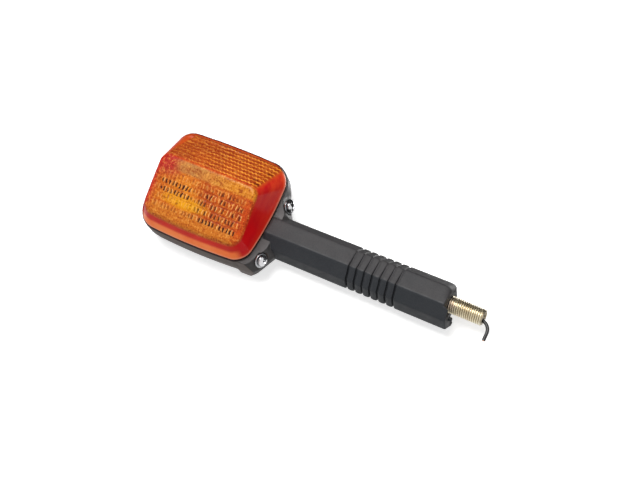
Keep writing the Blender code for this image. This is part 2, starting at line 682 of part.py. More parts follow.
def make_stem_bracket():
    """Steel tube of the stem, welded to the plate with a tilted pad behind each screw."""
    low, high = CORE_X
    tube = turned("stem_bracket", [(CORE_RADIUS, high), (CORE_RADIUS, low), (CORE_BORE, low),
                                   (CORE_BORE, high)], (STEEL, 0.4, 0.9), steps=24)
    tube.rotation_euler = ALONG_X
    plate = cutter("plate", box("plate", (PLATE_X[0], -5.8 * MM, -15.5 * MM),
                                (PLATE_X[1], 5 * MM, 19 * MM)))
    combine(tube, plate, "UNION")
    for name, sign in (("upper", 1), ("lower", -1)):
        pad = cutter(name + "_pad", rod(name + "_pad", 3.9 * MM, -11.8 * MM, PAD_FRONT, 24))
        pad.matrix_world = screw_frame(sign)
        combine(tube, pad, "UNION")
    way = cutter("core_way", rod("core_way", CORE_BORE - 0.15 * MM, -125 * MM, -116 * MM, 24))
    way.rotation_euler = ALONG_X
    combine(tube, way, "DIFFERENCE")
    for name, sign in (("upper", 1), ("lower", -1)):
        hole = cutter(name + "_plate_hole", rod(name + "_plate_hole", SCREW_HOLE, -16 * MM, -5 * MM, 16))
        hole.matrix_world = screw_frame(sign)
        combine(tube, hole, "DIFFERENCE")
    return tube


def make_nuts():
    for name, sign in (("upper", 1), ("lower", -1)):
        frame = screw_frame(sign)
        nut = add(name + "_nut", rod(name + "_nut", 4 * MM, -14.6 * MM, -12.1 * MM, 6), STEEL, 0.35, 0.9)
        nut.matrix_world = frame
        hole = cutter(name + "_nut_hole", rod(name + "_nut_hole", SCREW_HOLE, -16 * MM, -8 * MM, 16))
        hole.matrix_world = frame
        combine(nut, hole, "DIFFERENCE")


# ---------------------------------------------------------------- screws and washers
def make_screw(name, sign):
    axis = bpy.data.objects.new(name + "_axis", None)
    parts.objects.link(axis)
    axis.matrix_world = screw_frame(sign)
    flat = GAP
    washer = turned(name + "_washer", [(WASHER_RADIUS, flat + WASHER_THICK), (WASHER_RADIUS, flat),
                                       (WASHER_HOLE, flat), (WASHER_HOLE, flat + WASHER_THICK)],
                    (CHROME, 0.15, 1.0), steps=32)
    under = flat + WASHER_THICK + 0.1 * MM
    r = SCREW_HEAD_RADIUS
    profile = [(0, under + 2.3 * MM), (0.45 * r, under + 2.2 * MM), (0.75 * r, under + 1.85 * MM),
               (0.95 * r, under + 1.3 * MM), (r, under + 0.6 * MM), (r, under), (SCREW_SHANK, under),
               (SCREW_SHANK, under - SCREW_LENGTH + 0.6 * MM),
               (SCREW_SHANK - 0.5 * MM, under - SCREW_LENGTH), (0, under - SCREW_LENGTH)]
    screw = turned(name + "_screw", profile, (CHROME, 0.12, 1.0), closed=False, steps=28)
    for turn in (0, 90):
        blade = cutter(f"{name}_blade_{turn}", box(f"{name}_blade_{turn}",
                       (-1.9 * MM, -0.45 * MM, under + 1.1 * MM), (1.9 * MM, 0.45 * MM, under + 4 * MM)))
        blade.parent = axis
        blade.rotation_euler = (0, 0, math.radians(turn))
        combine(screw, blade, "DIFFERENCE")
    for piece in (washer, screw):
        piece.parent = axis
    return washer, screw


# ---------------------------------------------------------------- wires and grommet
def make_wires():
    finish = (BLACK, 0.45)
    inlet = (CORE_X[0] - 3 * MM, 0, 0)
    path = [(-129.3 * MM, LAMP_Y, LAMP_Z), (-124.9 * MM, LAMP_Y, LAMP_Z), inlet,
            (-118 * MM, 0, 0), (groove_x(0) - 3 * MM, 0, 0)]
    wire("live_wire_head", rounded_path(path, 1.6 * MM), WIRE_RADIUS, finish)
    wire("live_wire_flex", [(groove_x(0) - 2.4 * MM, 0, 0), (groove_x(6) + 2.4 * MM, 0, 0)],
         WIRE_RADIUS, finish)
    tail = [(groove_x(6) + 3 * MM, 0, 0), (-20 * MM, 0, 0), (-8 * MM, 0, 0.9 * MM),
            (STUD_LENGTH - 2 * MM, 0, 0.9 * MM), (TAIL_TURN_X, 0, -2.6 * MM),
            (TAIL_TURN_X + 0.1 * MM, 0, TAIL_END_Z)]
    wire("live_wire_tail", rounded_path(tail, 4.2 * MM, 7), WIRE_RADIUS, finish)
    ground = [(BRACKET_X[1] + GAP, 0, 9 * MM), (-122.8 * MM, 0, 9 * MM), (-122.8 * MM, 2.5 * MM, 9 * MM),
              (PLATE_X[0] - GAP, 2.5 * MM, 9 * MM)]
    wire("ground_wire", rounded_path(ground, 1.6 * MM, 4), 0.7 * MM, (BLACK, 0.5))


def make_grommet():
    inner = WIRE_RADIUS + GAP
    grommet = turned("wire_grommet", [(CORE_BORE - GAP, -118.6 * MM), (CORE_BORE - GAP, CORE_X[0] - GAP),
                                      (CORE_BORE + 1 * MM, CORE_X[0] - GAP),
                                      (CORE_BORE + 1 * MM, CORE_X[0] - 1.3 * MM),
                                      (inner, CORE_X[0] - 1.3 * MM), (inner, -118.6 * MM)],
                     (BLACK, 0.7), steps=24)
    grommet.rotation_euler = ALONG_X
    return grommet


make_lens()
make_gasket()
make_housing()
make_reflector()
lamp = lamp_axis("lamp_axis")
make_socket(lamp)
make_contact(lamp)
make_contact_spring(lamp)
make_bulb(lamp)
make_bracket()
make_bracket_screw()
make_stem()
make_stud()
make_stem_bracket()
make_nuts()
make_screw("upper", 1)
make_screw("lower", -1)
make_wires()
make_grommet()
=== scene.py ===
"""Looks of the turn signal indicator: amber prism lens, moulded housing, rubber stem, hollow stud.

Every length is in metres unless it says otherwise, in the frame of the CAD model: +X along the stem
towards the stud, the lens faces -Y, +Z up, origin in the middle of the stem's mounting face.
"""

import functools
import math

import bmesh
import bpy
import numpy as np
from mathutils import Matrix, Vector


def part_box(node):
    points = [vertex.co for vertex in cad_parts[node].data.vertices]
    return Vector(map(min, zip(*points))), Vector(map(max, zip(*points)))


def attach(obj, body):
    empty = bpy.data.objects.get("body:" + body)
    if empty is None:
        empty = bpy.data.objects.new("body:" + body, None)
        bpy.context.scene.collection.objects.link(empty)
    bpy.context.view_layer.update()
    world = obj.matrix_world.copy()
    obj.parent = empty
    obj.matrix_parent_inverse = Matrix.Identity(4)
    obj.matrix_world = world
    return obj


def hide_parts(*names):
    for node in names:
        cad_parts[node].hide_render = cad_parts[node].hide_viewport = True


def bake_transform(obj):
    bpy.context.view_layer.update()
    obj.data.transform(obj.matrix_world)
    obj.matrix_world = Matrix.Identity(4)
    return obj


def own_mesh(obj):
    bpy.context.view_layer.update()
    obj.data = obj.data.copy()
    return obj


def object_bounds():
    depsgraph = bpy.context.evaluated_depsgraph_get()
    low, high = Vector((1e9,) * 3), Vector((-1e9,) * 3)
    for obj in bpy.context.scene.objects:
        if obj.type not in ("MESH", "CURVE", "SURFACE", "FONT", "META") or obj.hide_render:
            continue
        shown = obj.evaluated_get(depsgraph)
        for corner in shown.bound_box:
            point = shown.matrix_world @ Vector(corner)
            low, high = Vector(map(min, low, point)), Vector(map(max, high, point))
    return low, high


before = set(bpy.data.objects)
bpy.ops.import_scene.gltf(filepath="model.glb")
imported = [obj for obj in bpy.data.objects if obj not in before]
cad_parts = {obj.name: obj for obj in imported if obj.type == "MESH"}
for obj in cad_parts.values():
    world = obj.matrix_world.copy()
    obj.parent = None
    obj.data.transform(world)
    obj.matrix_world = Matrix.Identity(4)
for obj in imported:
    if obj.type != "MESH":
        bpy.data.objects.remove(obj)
CAD_BOX = [list(corner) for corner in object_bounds()]
MM = 0.001


# ---- sizes
# Corner radii of the lip: upper stem side, upper end, lower end, lower stem side.
LIP_RADII = (12 * MM, 8.5 * MM, 12 * MM, 8.5 * MM)
# Swell of the lip and of the lens face: stem side, top, end side, bottom.
LIP_BOWS = (2.4 * MM, 1.3 * MM, 0.5 * MM, 1.7 * MM)
FACE_BOWS = (0.3 * MM, 0.5 * MM, 0.3 * MM, 1.7 * MM)
LENS_LOW, LENS_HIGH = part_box("lens")
GASKET_LOW, GASKET_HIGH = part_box("lens_gasket")
GAP = 0.3 * MM
LIP_X = (LENS_LOW.x + LIP_BOWS[2], LENS_HIGH.x - LIP_BOWS[0])
LIP_Z = (LENS_LOW.z + LIP_BOWS[3], LENS_HIGH.z - LIP_BOWS[1])
LIP_Y = GASKET_LOW.y - GAP
RIM_Y = GASKET_HIGH.y + GAP
BACK_Y = RIM_Y + 20.3 * MM

LENS_DEPTH_LOW = 14 * MM
LENS_DEPTH_HIGH = LIP_Y - LENS_LOW.y
END_DRAFT = 7 * MM
STEM_DRAFT = 2.8 * MM
LOW_DRAFT = 4.5 * MM
TOP_SET_BACK = 25.2 * MM
FACE_RADIUS = 5.4 * MM
EDGE_ROUND = 2.2 * MM
LENS_WALL = 2.2 * MM
TONGUE_OFFSET = 2.5 * MM
TONGUE_WALL = 1.4 * MM

STEM_FACETS = (12, 58, 104, 150, 192, 238, 284, 318)
STEM_REACH = 11.75 * MM
STEM_SHARPNESS = 60
STEM_TAPER = 0.04
STEM_SIDES = 256
STEM_ANGLES = np.arange(STEM_SIDES) * 2 * math.pi / STEM_SIDES
COLLAR_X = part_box("stem_head")[0].x + 10.5 * MM
GROOVE_PITCH = 4.9 * MM
GROOVE_WIDTH = 1.9 * MM
GROOVE_DEPTH = 1.7 * MM
CUT_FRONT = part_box("stem_head")[1].x + GAP / 2
GROOVES = [CUT_FRONT + n * GROOVE_PITCH for n in range(7)]
STEM_BORE = 4 * MM
LEDGE = 2.8 * MM  # how far the mounting face stands forward below the stud

SEAT = Vector((-111.2 * MM, -5 * MM, 18 * MM))
SCREW_UNDER = GAP + 1.0 * MM  # height of the underside of a screw's head above its seat
SCREW_TILT = math.radians(21)
SCREW_FAN = math.radians(10)
STUD_Z = 1.5 * MM
STUD_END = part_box("stud")[1].x


# ---- material tools
def shade(red, green, blue):
    """A colour given as display levels 0 to 255, turned to the linear values that shaders use."""
    return tuple(((level / 255 + 0.055) / 1.055) ** 2.4 for level in (red, green, blue))


class Nodes:
    """Short ways of adding nodes to a node tree."""

    def __init__(self, tree):
        self.tree = tree
        self.places = self.node("TexCoord").outputs
        self.where = self.places["Object"]

    def node(self, kind, **inputs):
        made = self.tree.nodes.new("ShaderNode" + kind)
        for key, value in inputs.items():
            self.feed(made.inputs[key.replace("_", " ")], value)
        return made

    def feed(self, socket, value):
        if isinstance(value, bpy.types.NodeSocket):
            self.tree.links.new(value, socket)
        else:
            socket.default_value = value

    def noise(self, scale, detail=3.0, roughness=0.5, stretch=(1, 1, 1)):
        place = self.node("Mapping", Vector=self.where, Scale=stretch)
        made = self.node("TexNoise", Vector=place.outputs[0], Scale=scale, Detail=detail,
                         Roughness=roughness)
        return made.outputs["Fac"]

    def math(self, operation, one, two=0.0):
        made = self.node("Math")
        made.operation = operation
        self.feed(made.inputs[0], one)
        self.feed(made.inputs[1], two)
        return made.outputs[0]

    def spread(self, value, low, high, start=0.0, end=1.0):
        made = self.node("MapRange", Value=value, From_Min=start, From_Max=end, To_Min=low, To_Max=high)
        return made.outputs[0]

    def length(self, vector):
        made = self.node("VectorMath", Vector=vector)
        made.operation = "LENGTH"
        return made.outputs["Value"]

    def choose(self, factor, one, two):
        """One number at factor 0, the other at 1."""
        made = self.node("Mix")
        for place, value in ((0, factor), (2, one), (3, two)):
            self.feed(made.inputs[place], value)
        return made.outputs[0]

    def mix(self, factor, one, two):
        """One colour at factor 0, the other at 1."""
        made = self.node("Mix")
        made.data_type = "RGBA"
        self.feed(made.inputs["Factor"], factor)
        for socket, value in ((made.inputs[6], one), (made.inputs[7], two)):
            self.feed(socket, value if isinstance(value, bpy.types.NodeSocket) else (*value, 1.0))
        return made.outputs[2]

    def attribute(self, name):
        made = self.node("Attribute")
        made.attribute_name = name
        return made.outputs["Fac"]

    def patch(self, u, v, middle, size, hard=0.5):
        """1 inside an ellipse on the (u, v) surface, fading to 0 outside it."""
        across = self.share(u, middle[0] * MM, size[0] * MM)
        along = self.share(v, middle[1] * MM, size[1] * MM)
        away = self.math("ADD", self.product(across, across), self.product(along, along))
        return self.spread(away, 1.0, 0.0, hard, 2 - hard)

    def stripe(self, value, middle, half, soft):
        """1 where the value is within half of the middle, fading to 0 over soft."""
        away = self.math("ABSOLUTE", self.math("SUBTRACT", value, middle))
        return self.spread(away, 1.0, 0.0, half, half + soft)

    def cells(self, along, across):
        """A random value from 0 to 1 for each whole-numbered cell of the two coordinates."""
        corner = self.node("CombineXYZ", X=self.math("FLOOR", along), Y=self.math("FLOOR", across))
        return self.node("TexWhiteNoise", Vector=corner.outputs[0]).outputs["Value"]

    def chain(self, operation, values):
        return functools.reduce(lambda one, two: self.math(operation, one, two), values)

    def product(self, *values):
        return self.chain("MULTIPLY", values)

    def most(self, *values):
        return self.chain("MAXIMUM", values)

    def share(self, value, start, width):
        """How many widths the value lies past the start."""
        return self.math("DIVIDE", self.math("SUBTRACT", value, start), width)

    def bump(self, height, distance, strength=1.0, before=None):
        made = self.node("Bump", Height=height, Distance=distance, Strength=strength)
        if before is not None:
            self.feed(made.inputs["Normal"], before)
        return made.outputs[0]


class Shader(Nodes):
    """The nodes of a new material with a Principled BSDF."""

    def __init__(self, name):
        self.material = bpy.data.materials.new(name)
        self.material.use_nodes = True
        super().__init__(self.material.node_tree)
        self.bsdf = self.tree.nodes["Principled BSDF"]

    def set(self, **inputs):
        for key, value in inputs.items():
            self.feed(self.bsdf.inputs[key.replace("_", " ")], value)


def moulded(name, dark, light, rough, grain=2600, speckle=0.12, coat=0.0, painted_light_tone=None, faces=(-0.35, 0.15)):
    """Plastic or rubber: slow tone changes, fine grain in tone and relief.

    Painted light: as the upward part of the surface's direction nears faces[1], the colour turns in
    blotches to a lighter tone, standing for light that falls on those faces.
    """
    s = Shader(name)
    slow = s.noise(55, 4)
    fine = s.noise(grain, 2, 0.6)
    tone = s.math("ADD", slow, s.math("MULTIPLY", s.math("SUBTRACT", fine, 0.5), speckle * 4))
    colour = s.mix(s.spread(tone, 0, 1, 0.25, 0.75), dark, light)
    if painted_light_tone is not None:
        # painted light: a lighter tone on the faces turned towards faces[1]
        upwards = s.node("SeparateXYZ", Vector=s.places["Normal"]).outputs["Z"]
        painted_light_share = s.product(s.spread(upwards, 0, 1, *faces), s.spread(tone, 0.6, 1, 0.3, 0.7))
        colour = s.mix(painted_light_share, colour, painted_light_tone)
    s.set(Base_Color=colour)
    s.set(Roughness=s.spread(s.noise(160, 4), rough[0], rough[1], 0.3, 0.7))
    s.set(Coat_Weight=coat, Coat_Roughness=0.25, Specular_IOR_Level=0.35)
    s.set(Normal=s.bump(fine, 0.03 * MM, 0.6, s.bump(s.noise(420, 3), 0.05 * MM, 0.5)))
    return s.material


def metal(name, dark, light, rough, scale=500):
    """Metal with stains, fine scratches and uneven polish."""
    s = Shader(name)
    stain = s.noise(140, 5, 0.6)
    scratch = s.noise(scale, 3, 0.7)
    s.set(Base_Color=s.mix(s.spread(stain, 0, 1, 0.3, 0.7), dark, light), Metallic=1.0)
    s.set(Roughness=s.spread(scratch, rough[0], rough[1], 0.3, 0.7))
    s.set(Normal=s.bump(scratch, 0.02 * MM, 0.35))
    return s.material


# ---- mesh tools
def placed(name, data, matrix=None):
    """Put an object with this data in the scene."""
    thing = bpy.data.objects.new(name, data)
    bpy.context.scene.collection.objects.link(thing)
    if matrix is not None:
        thing.matrix_world = matrix
    return thing


def new_piece(name, mesh, material, smooth_angle=None):
    """Show a mesh as a smooth piece, creased where its faces meet at more than smooth_angle degrees."""
    piece = placed(name, mesh)
    mesh.materials.clear()
    mesh.materials.append(material)
    mesh.shade_smooth()
    if smooth_angle is not None:
        mesh.set_sharp_from_angle(angle=math.radians(smooth_angle))
    return piece


def stand_in(piece, body, node):
    """Let the piece move with the body and take the place of the CAD's node."""
    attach(piece, body)
    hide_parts(node)


def mesh_from(bm, name):
    mesh = bpy.data.meshes.new(name)
    bm.to_mesh(mesh)
    bm.free()
    return mesh


def round_loop(radius, height, steps=96):
    """Points of a circle round Z."""
    angles = [2 * math.pi * k / steps for k in range(steps)]
    return [(radius * math.cos(angle), radius * math.sin(angle), height) for angle in angles]


def loft(name, loops, ring=False, attributes=None):
    """Skin over equal loops of points, flat caps at both ends or closed end to start."""
    count = len(loops[0])
    points = np.array([[tuple(p) for p in loop] for loop in loops]).reshape(-1, 3)
    faces = []
    last = len(loops) if ring else len(loops) - 1
    for row in range(last):
        a, b = row * count, ((row + 1) % len(loops)) * count
        for k in range(count):
            j = (k + 1) % count
            faces.append((a + k, a + j, b + j, b + k))
    if not ring:
        faces.append(tuple(range(count))[::-1])
        faces.append(tuple(range((len(loops) - 1) * count, len(loops) * count)))
    mesh = bpy.data.meshes.new(name)
    mesh.from_pydata(points.tolist(), [], faces)
    for key, values in (attributes or {}).items():
        layer = mesh.attributes.new(key, "FLOAT", "POINT")
        layer.data.foreach_set("value", np.asarray(values, np.float32).ravel())
    bm = bmesh.new()
    bm.from_mesh(mesh)
    bmesh.ops.recalc_face_normals(bm, faces=bm.faces)
    bm.to_mesh(mesh)
    bm.free()
    return mesh


def rod(radius, bottom, top):
    bm = bmesh.new()
    bmesh.ops.create_cone(bm, cap_ends=True, segments=96, radius1=radius, radius2=radius,
                          depth=top - bottom)
    bmesh.ops.translate(bm, vec=(0, 0, (bottom + top) / 2), verts=bm.verts)
    return mesh_from(bm, "rod")


def carve(mesh, steps):
    """Apply Boolean steps (mesh, matrix, operation) to a mesh and return the result."""
    base = placed("base", mesh)
    helpers = []
    for other, matrix, operation in steps:
        helper = placed("helper", other, matrix)
        helpers.append(helper)
        step = base.modifiers.new("cut", "BOOLEAN")
        step.object, step.operation, step.solver = helper, operation, "EXACT"
    result = applied(base)
    for helper in helpers + [base]:
        bpy.data.objects.remove(helper)
    return result


def applied(thing):
    bpy.context.view_layer.update()
    graph = bpy.context.evaluated_depsgraph_get()
    return bpy.data.meshes.new_from_object(thing.evaluated_get(graph))


def melt(mesh, voxel, passes):
    """Remesh to even cells and relax them, which rounds every edge as a mould does."""
    thing = placed("melt", mesh)
    grid = thing.modifiers.new("grid", "REMESH")
    grid.mode = "VOXEL"
    grid.voxel_size = voxel
    relax = thing.modifiers.new("relax", "SMOOTH")
    relax.factor = 0.5
    relax.iterations = passes
    result = applied(thing)
    bpy.data.objects.remove(thing)
    return result


def spun(name, profile, steps=96, closed=True):
    """Turn (radius, height) points round Z; closed profiles make rings."""
    return loft(name, [round_loop(radius, height, steps) for radius, height in profile], ring=closed)


def rounded(points, radius):
    """Replace each corner of a closed 2D outline by a small curve."""
    result = []
    count, steps = len(points), 4
    for k in range(count):
        a, b, c = (Vector(points[(k + n) % count]) for n in (-1, 0, 1))
        back = (a - b).normalized() * min(radius, (a - b).length * 0.45)
        ahead = (c - b).normalized() * min(radius, (c - b).length * 0.45)
        for n in range(steps + 1):
            t = n / steps
            result.append(tuple(b + back * (1 - t) ** 2 + ahead * t ** 2))
    return result


# ---- outline of the head
ARC_STEPS = 24
SIDE_STEPS = 76


def outline(offset, y, radii=LIP_RADII, span_x=LIP_X, span_z=LIP_Z, bows=LIP_BOWS):
    """Rounded rectangle with swelling sides, moved inwards by offset, at depth y."""
    x0, x1 = span_x[0] + offset, span_x[1] - offset
    z0, z1 = span_z[0] + offset, span_z[1] - offset
    mid_x, mid_z = (x0 + x1) / 2, (z0 + z1) / 2
    arcs = []
    for n, (cx, cz) in enumerate(((x1, z1), (x0, z1), (x0, z0), (x1, z0))):
        radius = max(radii[n] - offset, 0.8 * MM)
        cx -= math.copysign(radius, cx - mid_x)
        cz -= math.copysign(radius, cz - mid_z)
        angles = [math.radians(90 * (n + k / ARC_STEPS)) for k in range(ARC_STEPS + 1)]
        arcs.append([(cx + radius * math.cos(a), cz + radius * math.sin(a)) for a in angles])
    flat = []
    for n, run in enumerate(arcs):
        (x, z), (to_x, to_z) = run[-1], arcs[(n + 1) % 4][0]
        shares = [k / SIDE_STEPS for k in range(1, SIDE_STEPS)]
        flat += run + [(x + (to_x - x) * share, z + (to_z - z) * share) for share in shares]
    loop = []
    for x, z in flat:
        across, up = (x - mid_x) / (x1 - mid_x), (z - mid_z) / (z1 - mid_z)
        side_bow = bows[0] if across > 0 else bows[2]
        level_bow = bows[1] if up > 0 else bows[3]
        loop.append(Vector((x + side_bow * across * (1 - up * up), y,
                            z + level_bow * up * (1 - across * across))))
    return loop


# ---- lens
FACE_X = (LIP_X[0] + END_DRAFT, LIP_X[1] - STEM_DRAFT)
FACE_Z = (LIP_Z[0] + LOW_DRAFT, LIP_Z[1] - TOP_SET_BACK)
FACE_LEAN = (LENS_DEPTH_HIGH - LENS_DEPTH_LOW) / (FACE_Z[1] - FACE_Z[0])
FACE_HEIGHT = (FACE_Z[1] - FACE_Z[0]) * math.hypot(1, FACE_LEAN)
UPPER_SLOPE = math.atan2(LENS_DEPTH_HIGH, TOP_SET_BACK)
ROW = 4.65 * MM  # height of one row of prisms on the front face
FIRST_ROW = 3.3 * MM
PILLOW = 2.3 * MM  # width of one prism
UPPER_ROW = 4.1 * MM  # height of one row on the upper face
WAVE = 0.11  # the rows of the upper face wave by this share of their height
WAVE_LENGTH = 2.35 * MM


def face_y(z):
    return LIP_Y - LENS_DEPTH_LOW - FACE_LEAN * (z - FACE_Z[0])


def face_loop(offset, shift):
    loop = outline(offset, 0, (FACE_RADIUS,) * 4, FACE_X, FACE_Z, FACE_BOWS)
    for point in loop:
        point.y = face_y(point.z) + shift
    return loop


def lens_skin(inset, lip_offset, lip_y, rings, walls):
    """Loops from the middle of the front face, over its rounded edge, down the sides to the lip."""
    edge = face_loop(inset, inset)
    flat = face_loop(inset + EDGE_ROUND, inset)
    lip = outline(lip_offset, lip_y)
    middle = sum(flat, Vector()) / len(flat)
    skin = [[middle.lerp(p, max(k, 0.15) / rings) for p in flat] for k in range(rings)]
    turn = [f.lerp(s, EDGE_ROUND / (s - f).length) for f, s in zip(edge, lip)]
    for k in range(7):
        t = k / 6
        skin.append([a * (1 - t) ** 2 + b * 2 * t * (1 - t) + c * t * t
                     for a, b, c in zip(flat, edge, turn)])
    for k in range(1, walls + 1):
        skin.append([a.lerp(b, k / walls) for a, b in zip(turn, lip)])
    return skin


def ramp(value, width):
    """Rise from 0 to 1 as the value goes from 0 to the width."""
    return np.clip(value / width, 0, 1)


def optic_fields(points):
    """Places on the lens for its material: u and v in metres over the front, and masks from 0 to 1."""
    x, y, z = points.T
    ridge = FACE_Z[1]
    below = (z - FACE_Z[0]) * math.hypot(1, FACE_LEAN)
    v = np.where(z < ridge, below, FACE_HEIGHT + (z - ridge) / math.cos(UPPER_SLOPE))
    front = np.where(z < ridge, face_y(z), LIP_Y - LENS_DEPTH_HIGH + (z - ridge) * math.tan(UPPER_SLOPE))
    depth = y - front
    mid_x, mid_z = sum(LIP_X) / 2, sum(LIP_Z) / 2
    across, up = (x - mid_x) / (LIP_X[1] - mid_x), (z - mid_z) / (LIP_Z[1] - mid_z)
    upper = ramp(z - ridge, 0.6 * MM)
    side = np.minimum(x - FACE_X[0], FACE_X[1] - x)
    optic = ramp(side - 1.6 * MM, 1.2 * MM) * ramp(v - 2.4 * MM, 1.0 * MM)
    optic *= ramp(LIP_Z[1] - 0.3 * MM - z, 0.8 * MM)
    return {"lens_u": x - FACE_X[0], "lens_v": v,
            "lens_wall": ramp(depth - 1.0 * MM, 1.8 * MM),
            "lens_drop": ramp(depth, np.maximum(LIP_Y - front, 1 * MM)),
            "lens_lip": ramp(y - LIP_Y + 1.7 * MM, 0.8 * MM),
            "lens_stem": np.clip((across - np.abs(up)) * 6 + 0.5, 0, 1),
            "lens_end": np.clip((-across - np.abs(up)) * 6 + 0.5, 0, 1),
            "lens_optic": optic, "lens_upper": upper}


def prism_rows(v):
    """Row coordinate, one whole number for each row of prisms, on the front and on the upper face."""
    return np.where(v < FACE_HEIGHT, (v - FIRST_ROW) / ROW, (v - FACE_HEIGHT) / UPPER_ROW + 40)


def relief(fields):
    """Depth of the prisms: pillows on the front face, low wavy steps on the upper face."""
    u, v, upper = fields["lens_u"], fields["lens_v"], fields["lens_upper"]
    wave = np.where(upper > 0.5, WAVE * np.sin(2 * math.pi * u / WAVE_LENGTH), 0)
    row = (prism_rows(v) + wave) % 1.0
    pillow = np.abs(np.sin(math.pi * u / PILLOW)) * np.abs(np.sin(math.pi * row)) ** 0.6
    steps = np.minimum(row / 0.8, (1 - row) / 0.2)
    band = ramp(v - 27.3 * MM, 0.8 * MM) * (1 - upper)
    height = np.where(upper > 0.5, steps, pillow)
    return height * fields["lens_optic"] * (1 - band) * (1 - fields["lens_wall"])


def front_colours(s, u, v):
    """Colour of the clear front face: gold with a bright patch, browner and redder to the sides."""
    slow = s.spread(s.noise(70, 4), 0, 1, 0.32, 0.68)
    body = s.mix(slow, shade(188, 86, 22), shade(212, 118, 32))
    brown = s.mix(slow, shade(168, 64, 18), shade(194, 90, 24))
    body = s.mix(s.patch(u, v, (46, 15), (20, 12)), body, brown)
    body = s.mix(s.patch(u, v, (30, 1.5), (46, 5)), body, shade(196, 110, 34))
    body = s.mix(s.product(0.9, s.patch(u, v, (24.5, 11.2), (13, 3.6), 0.1)), body, shade(230, 162, 14))
    body = s.mix(s.product(0.5, s.patch(u, v, (22, 16.5), (9, 5), 0.1)), body, shade(226, 140, 28))
    body = s.mix(s.product(0.9, s.patch(u, v, (6, 31), (10, 8), 0.3)), body, shade(176, 36, 40))
    body = s.mix(s.product(0.7, s.patch(u, v, (64, 12), (5, 26), 0.3)), body, shade(196, 64, 18))
    body = s.mix(s.spread(u, 0.95, 0, 0.3 * MM, 4.8 * MM), body, shade(188, 30, 32))
    haze = s.product(s.stripe(v, 30.6 * MM, 2.6 * MM, 1.6 * MM), s.spread(u, 0, 1, 9 * MM, 16 * MM))
    smooth = s.mix(s.spread(u, 0, 1, 20 * MM, 50 * MM), shade(176, 122, 66), shade(208, 130, 34))
    smooth = s.mix(s.spread(s.noise(160, 3, 0.6), 0, 0.6, 0.4, 0.7), smooth, shade(196, 108, 40))
    return grained(s, s.mix(haze, body, smooth))


def grained(s, colour, amount=1.0):
    """Fine darker and lighter flecks, from the prisms on the far side of the plastic."""
    fleck = s.math("ADD", s.product(s.noise(950, 2, 0.6), 0.55), s.product(s.noise(480, 3, 0.6), 0.45))
    colour = s.mix(s.spread(fleck, 0.75 * amount, 0, 0.38, 0.49), colour, shade(134, 42, 14))
    return s.mix(s.spread(fleck, 0, 0.5 * amount, 0.53, 0.64), colour, shade(248, 180, 84))


def front_marks(s, u, v):
    """Marks that the prisms of the front face throw, painted in: dark ticks and ledge lines of painted
    shade, light glints of painted highlight, and how strong each row shows.
    """
    wobble = s.product(s.math("SUBTRACT", s.noise(420, 2), 0.5), 0.9)
    row = s.math("ADD", s.share(v, FIRST_ROW, ROW), s.product(wobble, 0.35))
    shift = s.product(s.cells(row, 7.0), 0.7)
    column = s.math("ADD", s.math("DIVIDE", u, PILLOW), s.math("ADD", shift, wobble))
    chance = s.cells(column, row)
    in_row, in_column = s.math("FRACT", row), s.math("FRACT", column)
    # painted shade: dark ticks; painted highlight: glints beside them; painted shade: lines along the
    # ledges
    painted_shade_tick = s.product(s.stripe(in_row, 0.46, 0.22, 0.14), s.stripe(in_column, 0.42, 0.17, 0.12))
    glint = s.product(s.stripe(in_row, 0.52, 0.22, 0.18), s.stripe(in_column, 0.72, 0.07, 0.12))
    ledge = s.stripe(in_row, 0.93, 0.05, 0.10)
    busy = s.most(s.patch(u, v, (16, 19.7), (11.5, 2.4), 0.8), s.patch(u, v, (17, 15.0), (11, 2.2), 0.8))
    right = s.patch(u, v, (47, 14), (16.5, 11.5), 0.7)
    low = s.product(s.stripe(v, 5.6 * MM, 1.5 * MM, 0.8 * MM), s.spread(u, 0.35, 1.0, 26 * MM, 38 * MM))
    strength = s.most(busy, s.product(right, 0.85), low, 0.22)
    clear = s.spread(v, 1.0, 0.0, 26.6 * MM, 27.8 * MM)
    picked = s.most(s.spread(chance, 0.0, 1.0, 0.18, 0.42), s.product(busy, 0.8))
    dark = s.product(painted_shade_tick, strength, picked, clear)
    light = s.product(glint, s.most(strength, 0.4), s.spread(chance, 1.0, 0.0, 0.5, 0.8), clear)
    lines = s.product(ledge, s.most(right, 0.35), clear, s.spread(s.noise(130, 2), 0.1, 1, 0.4, 0.6))
    return dark, light, lines


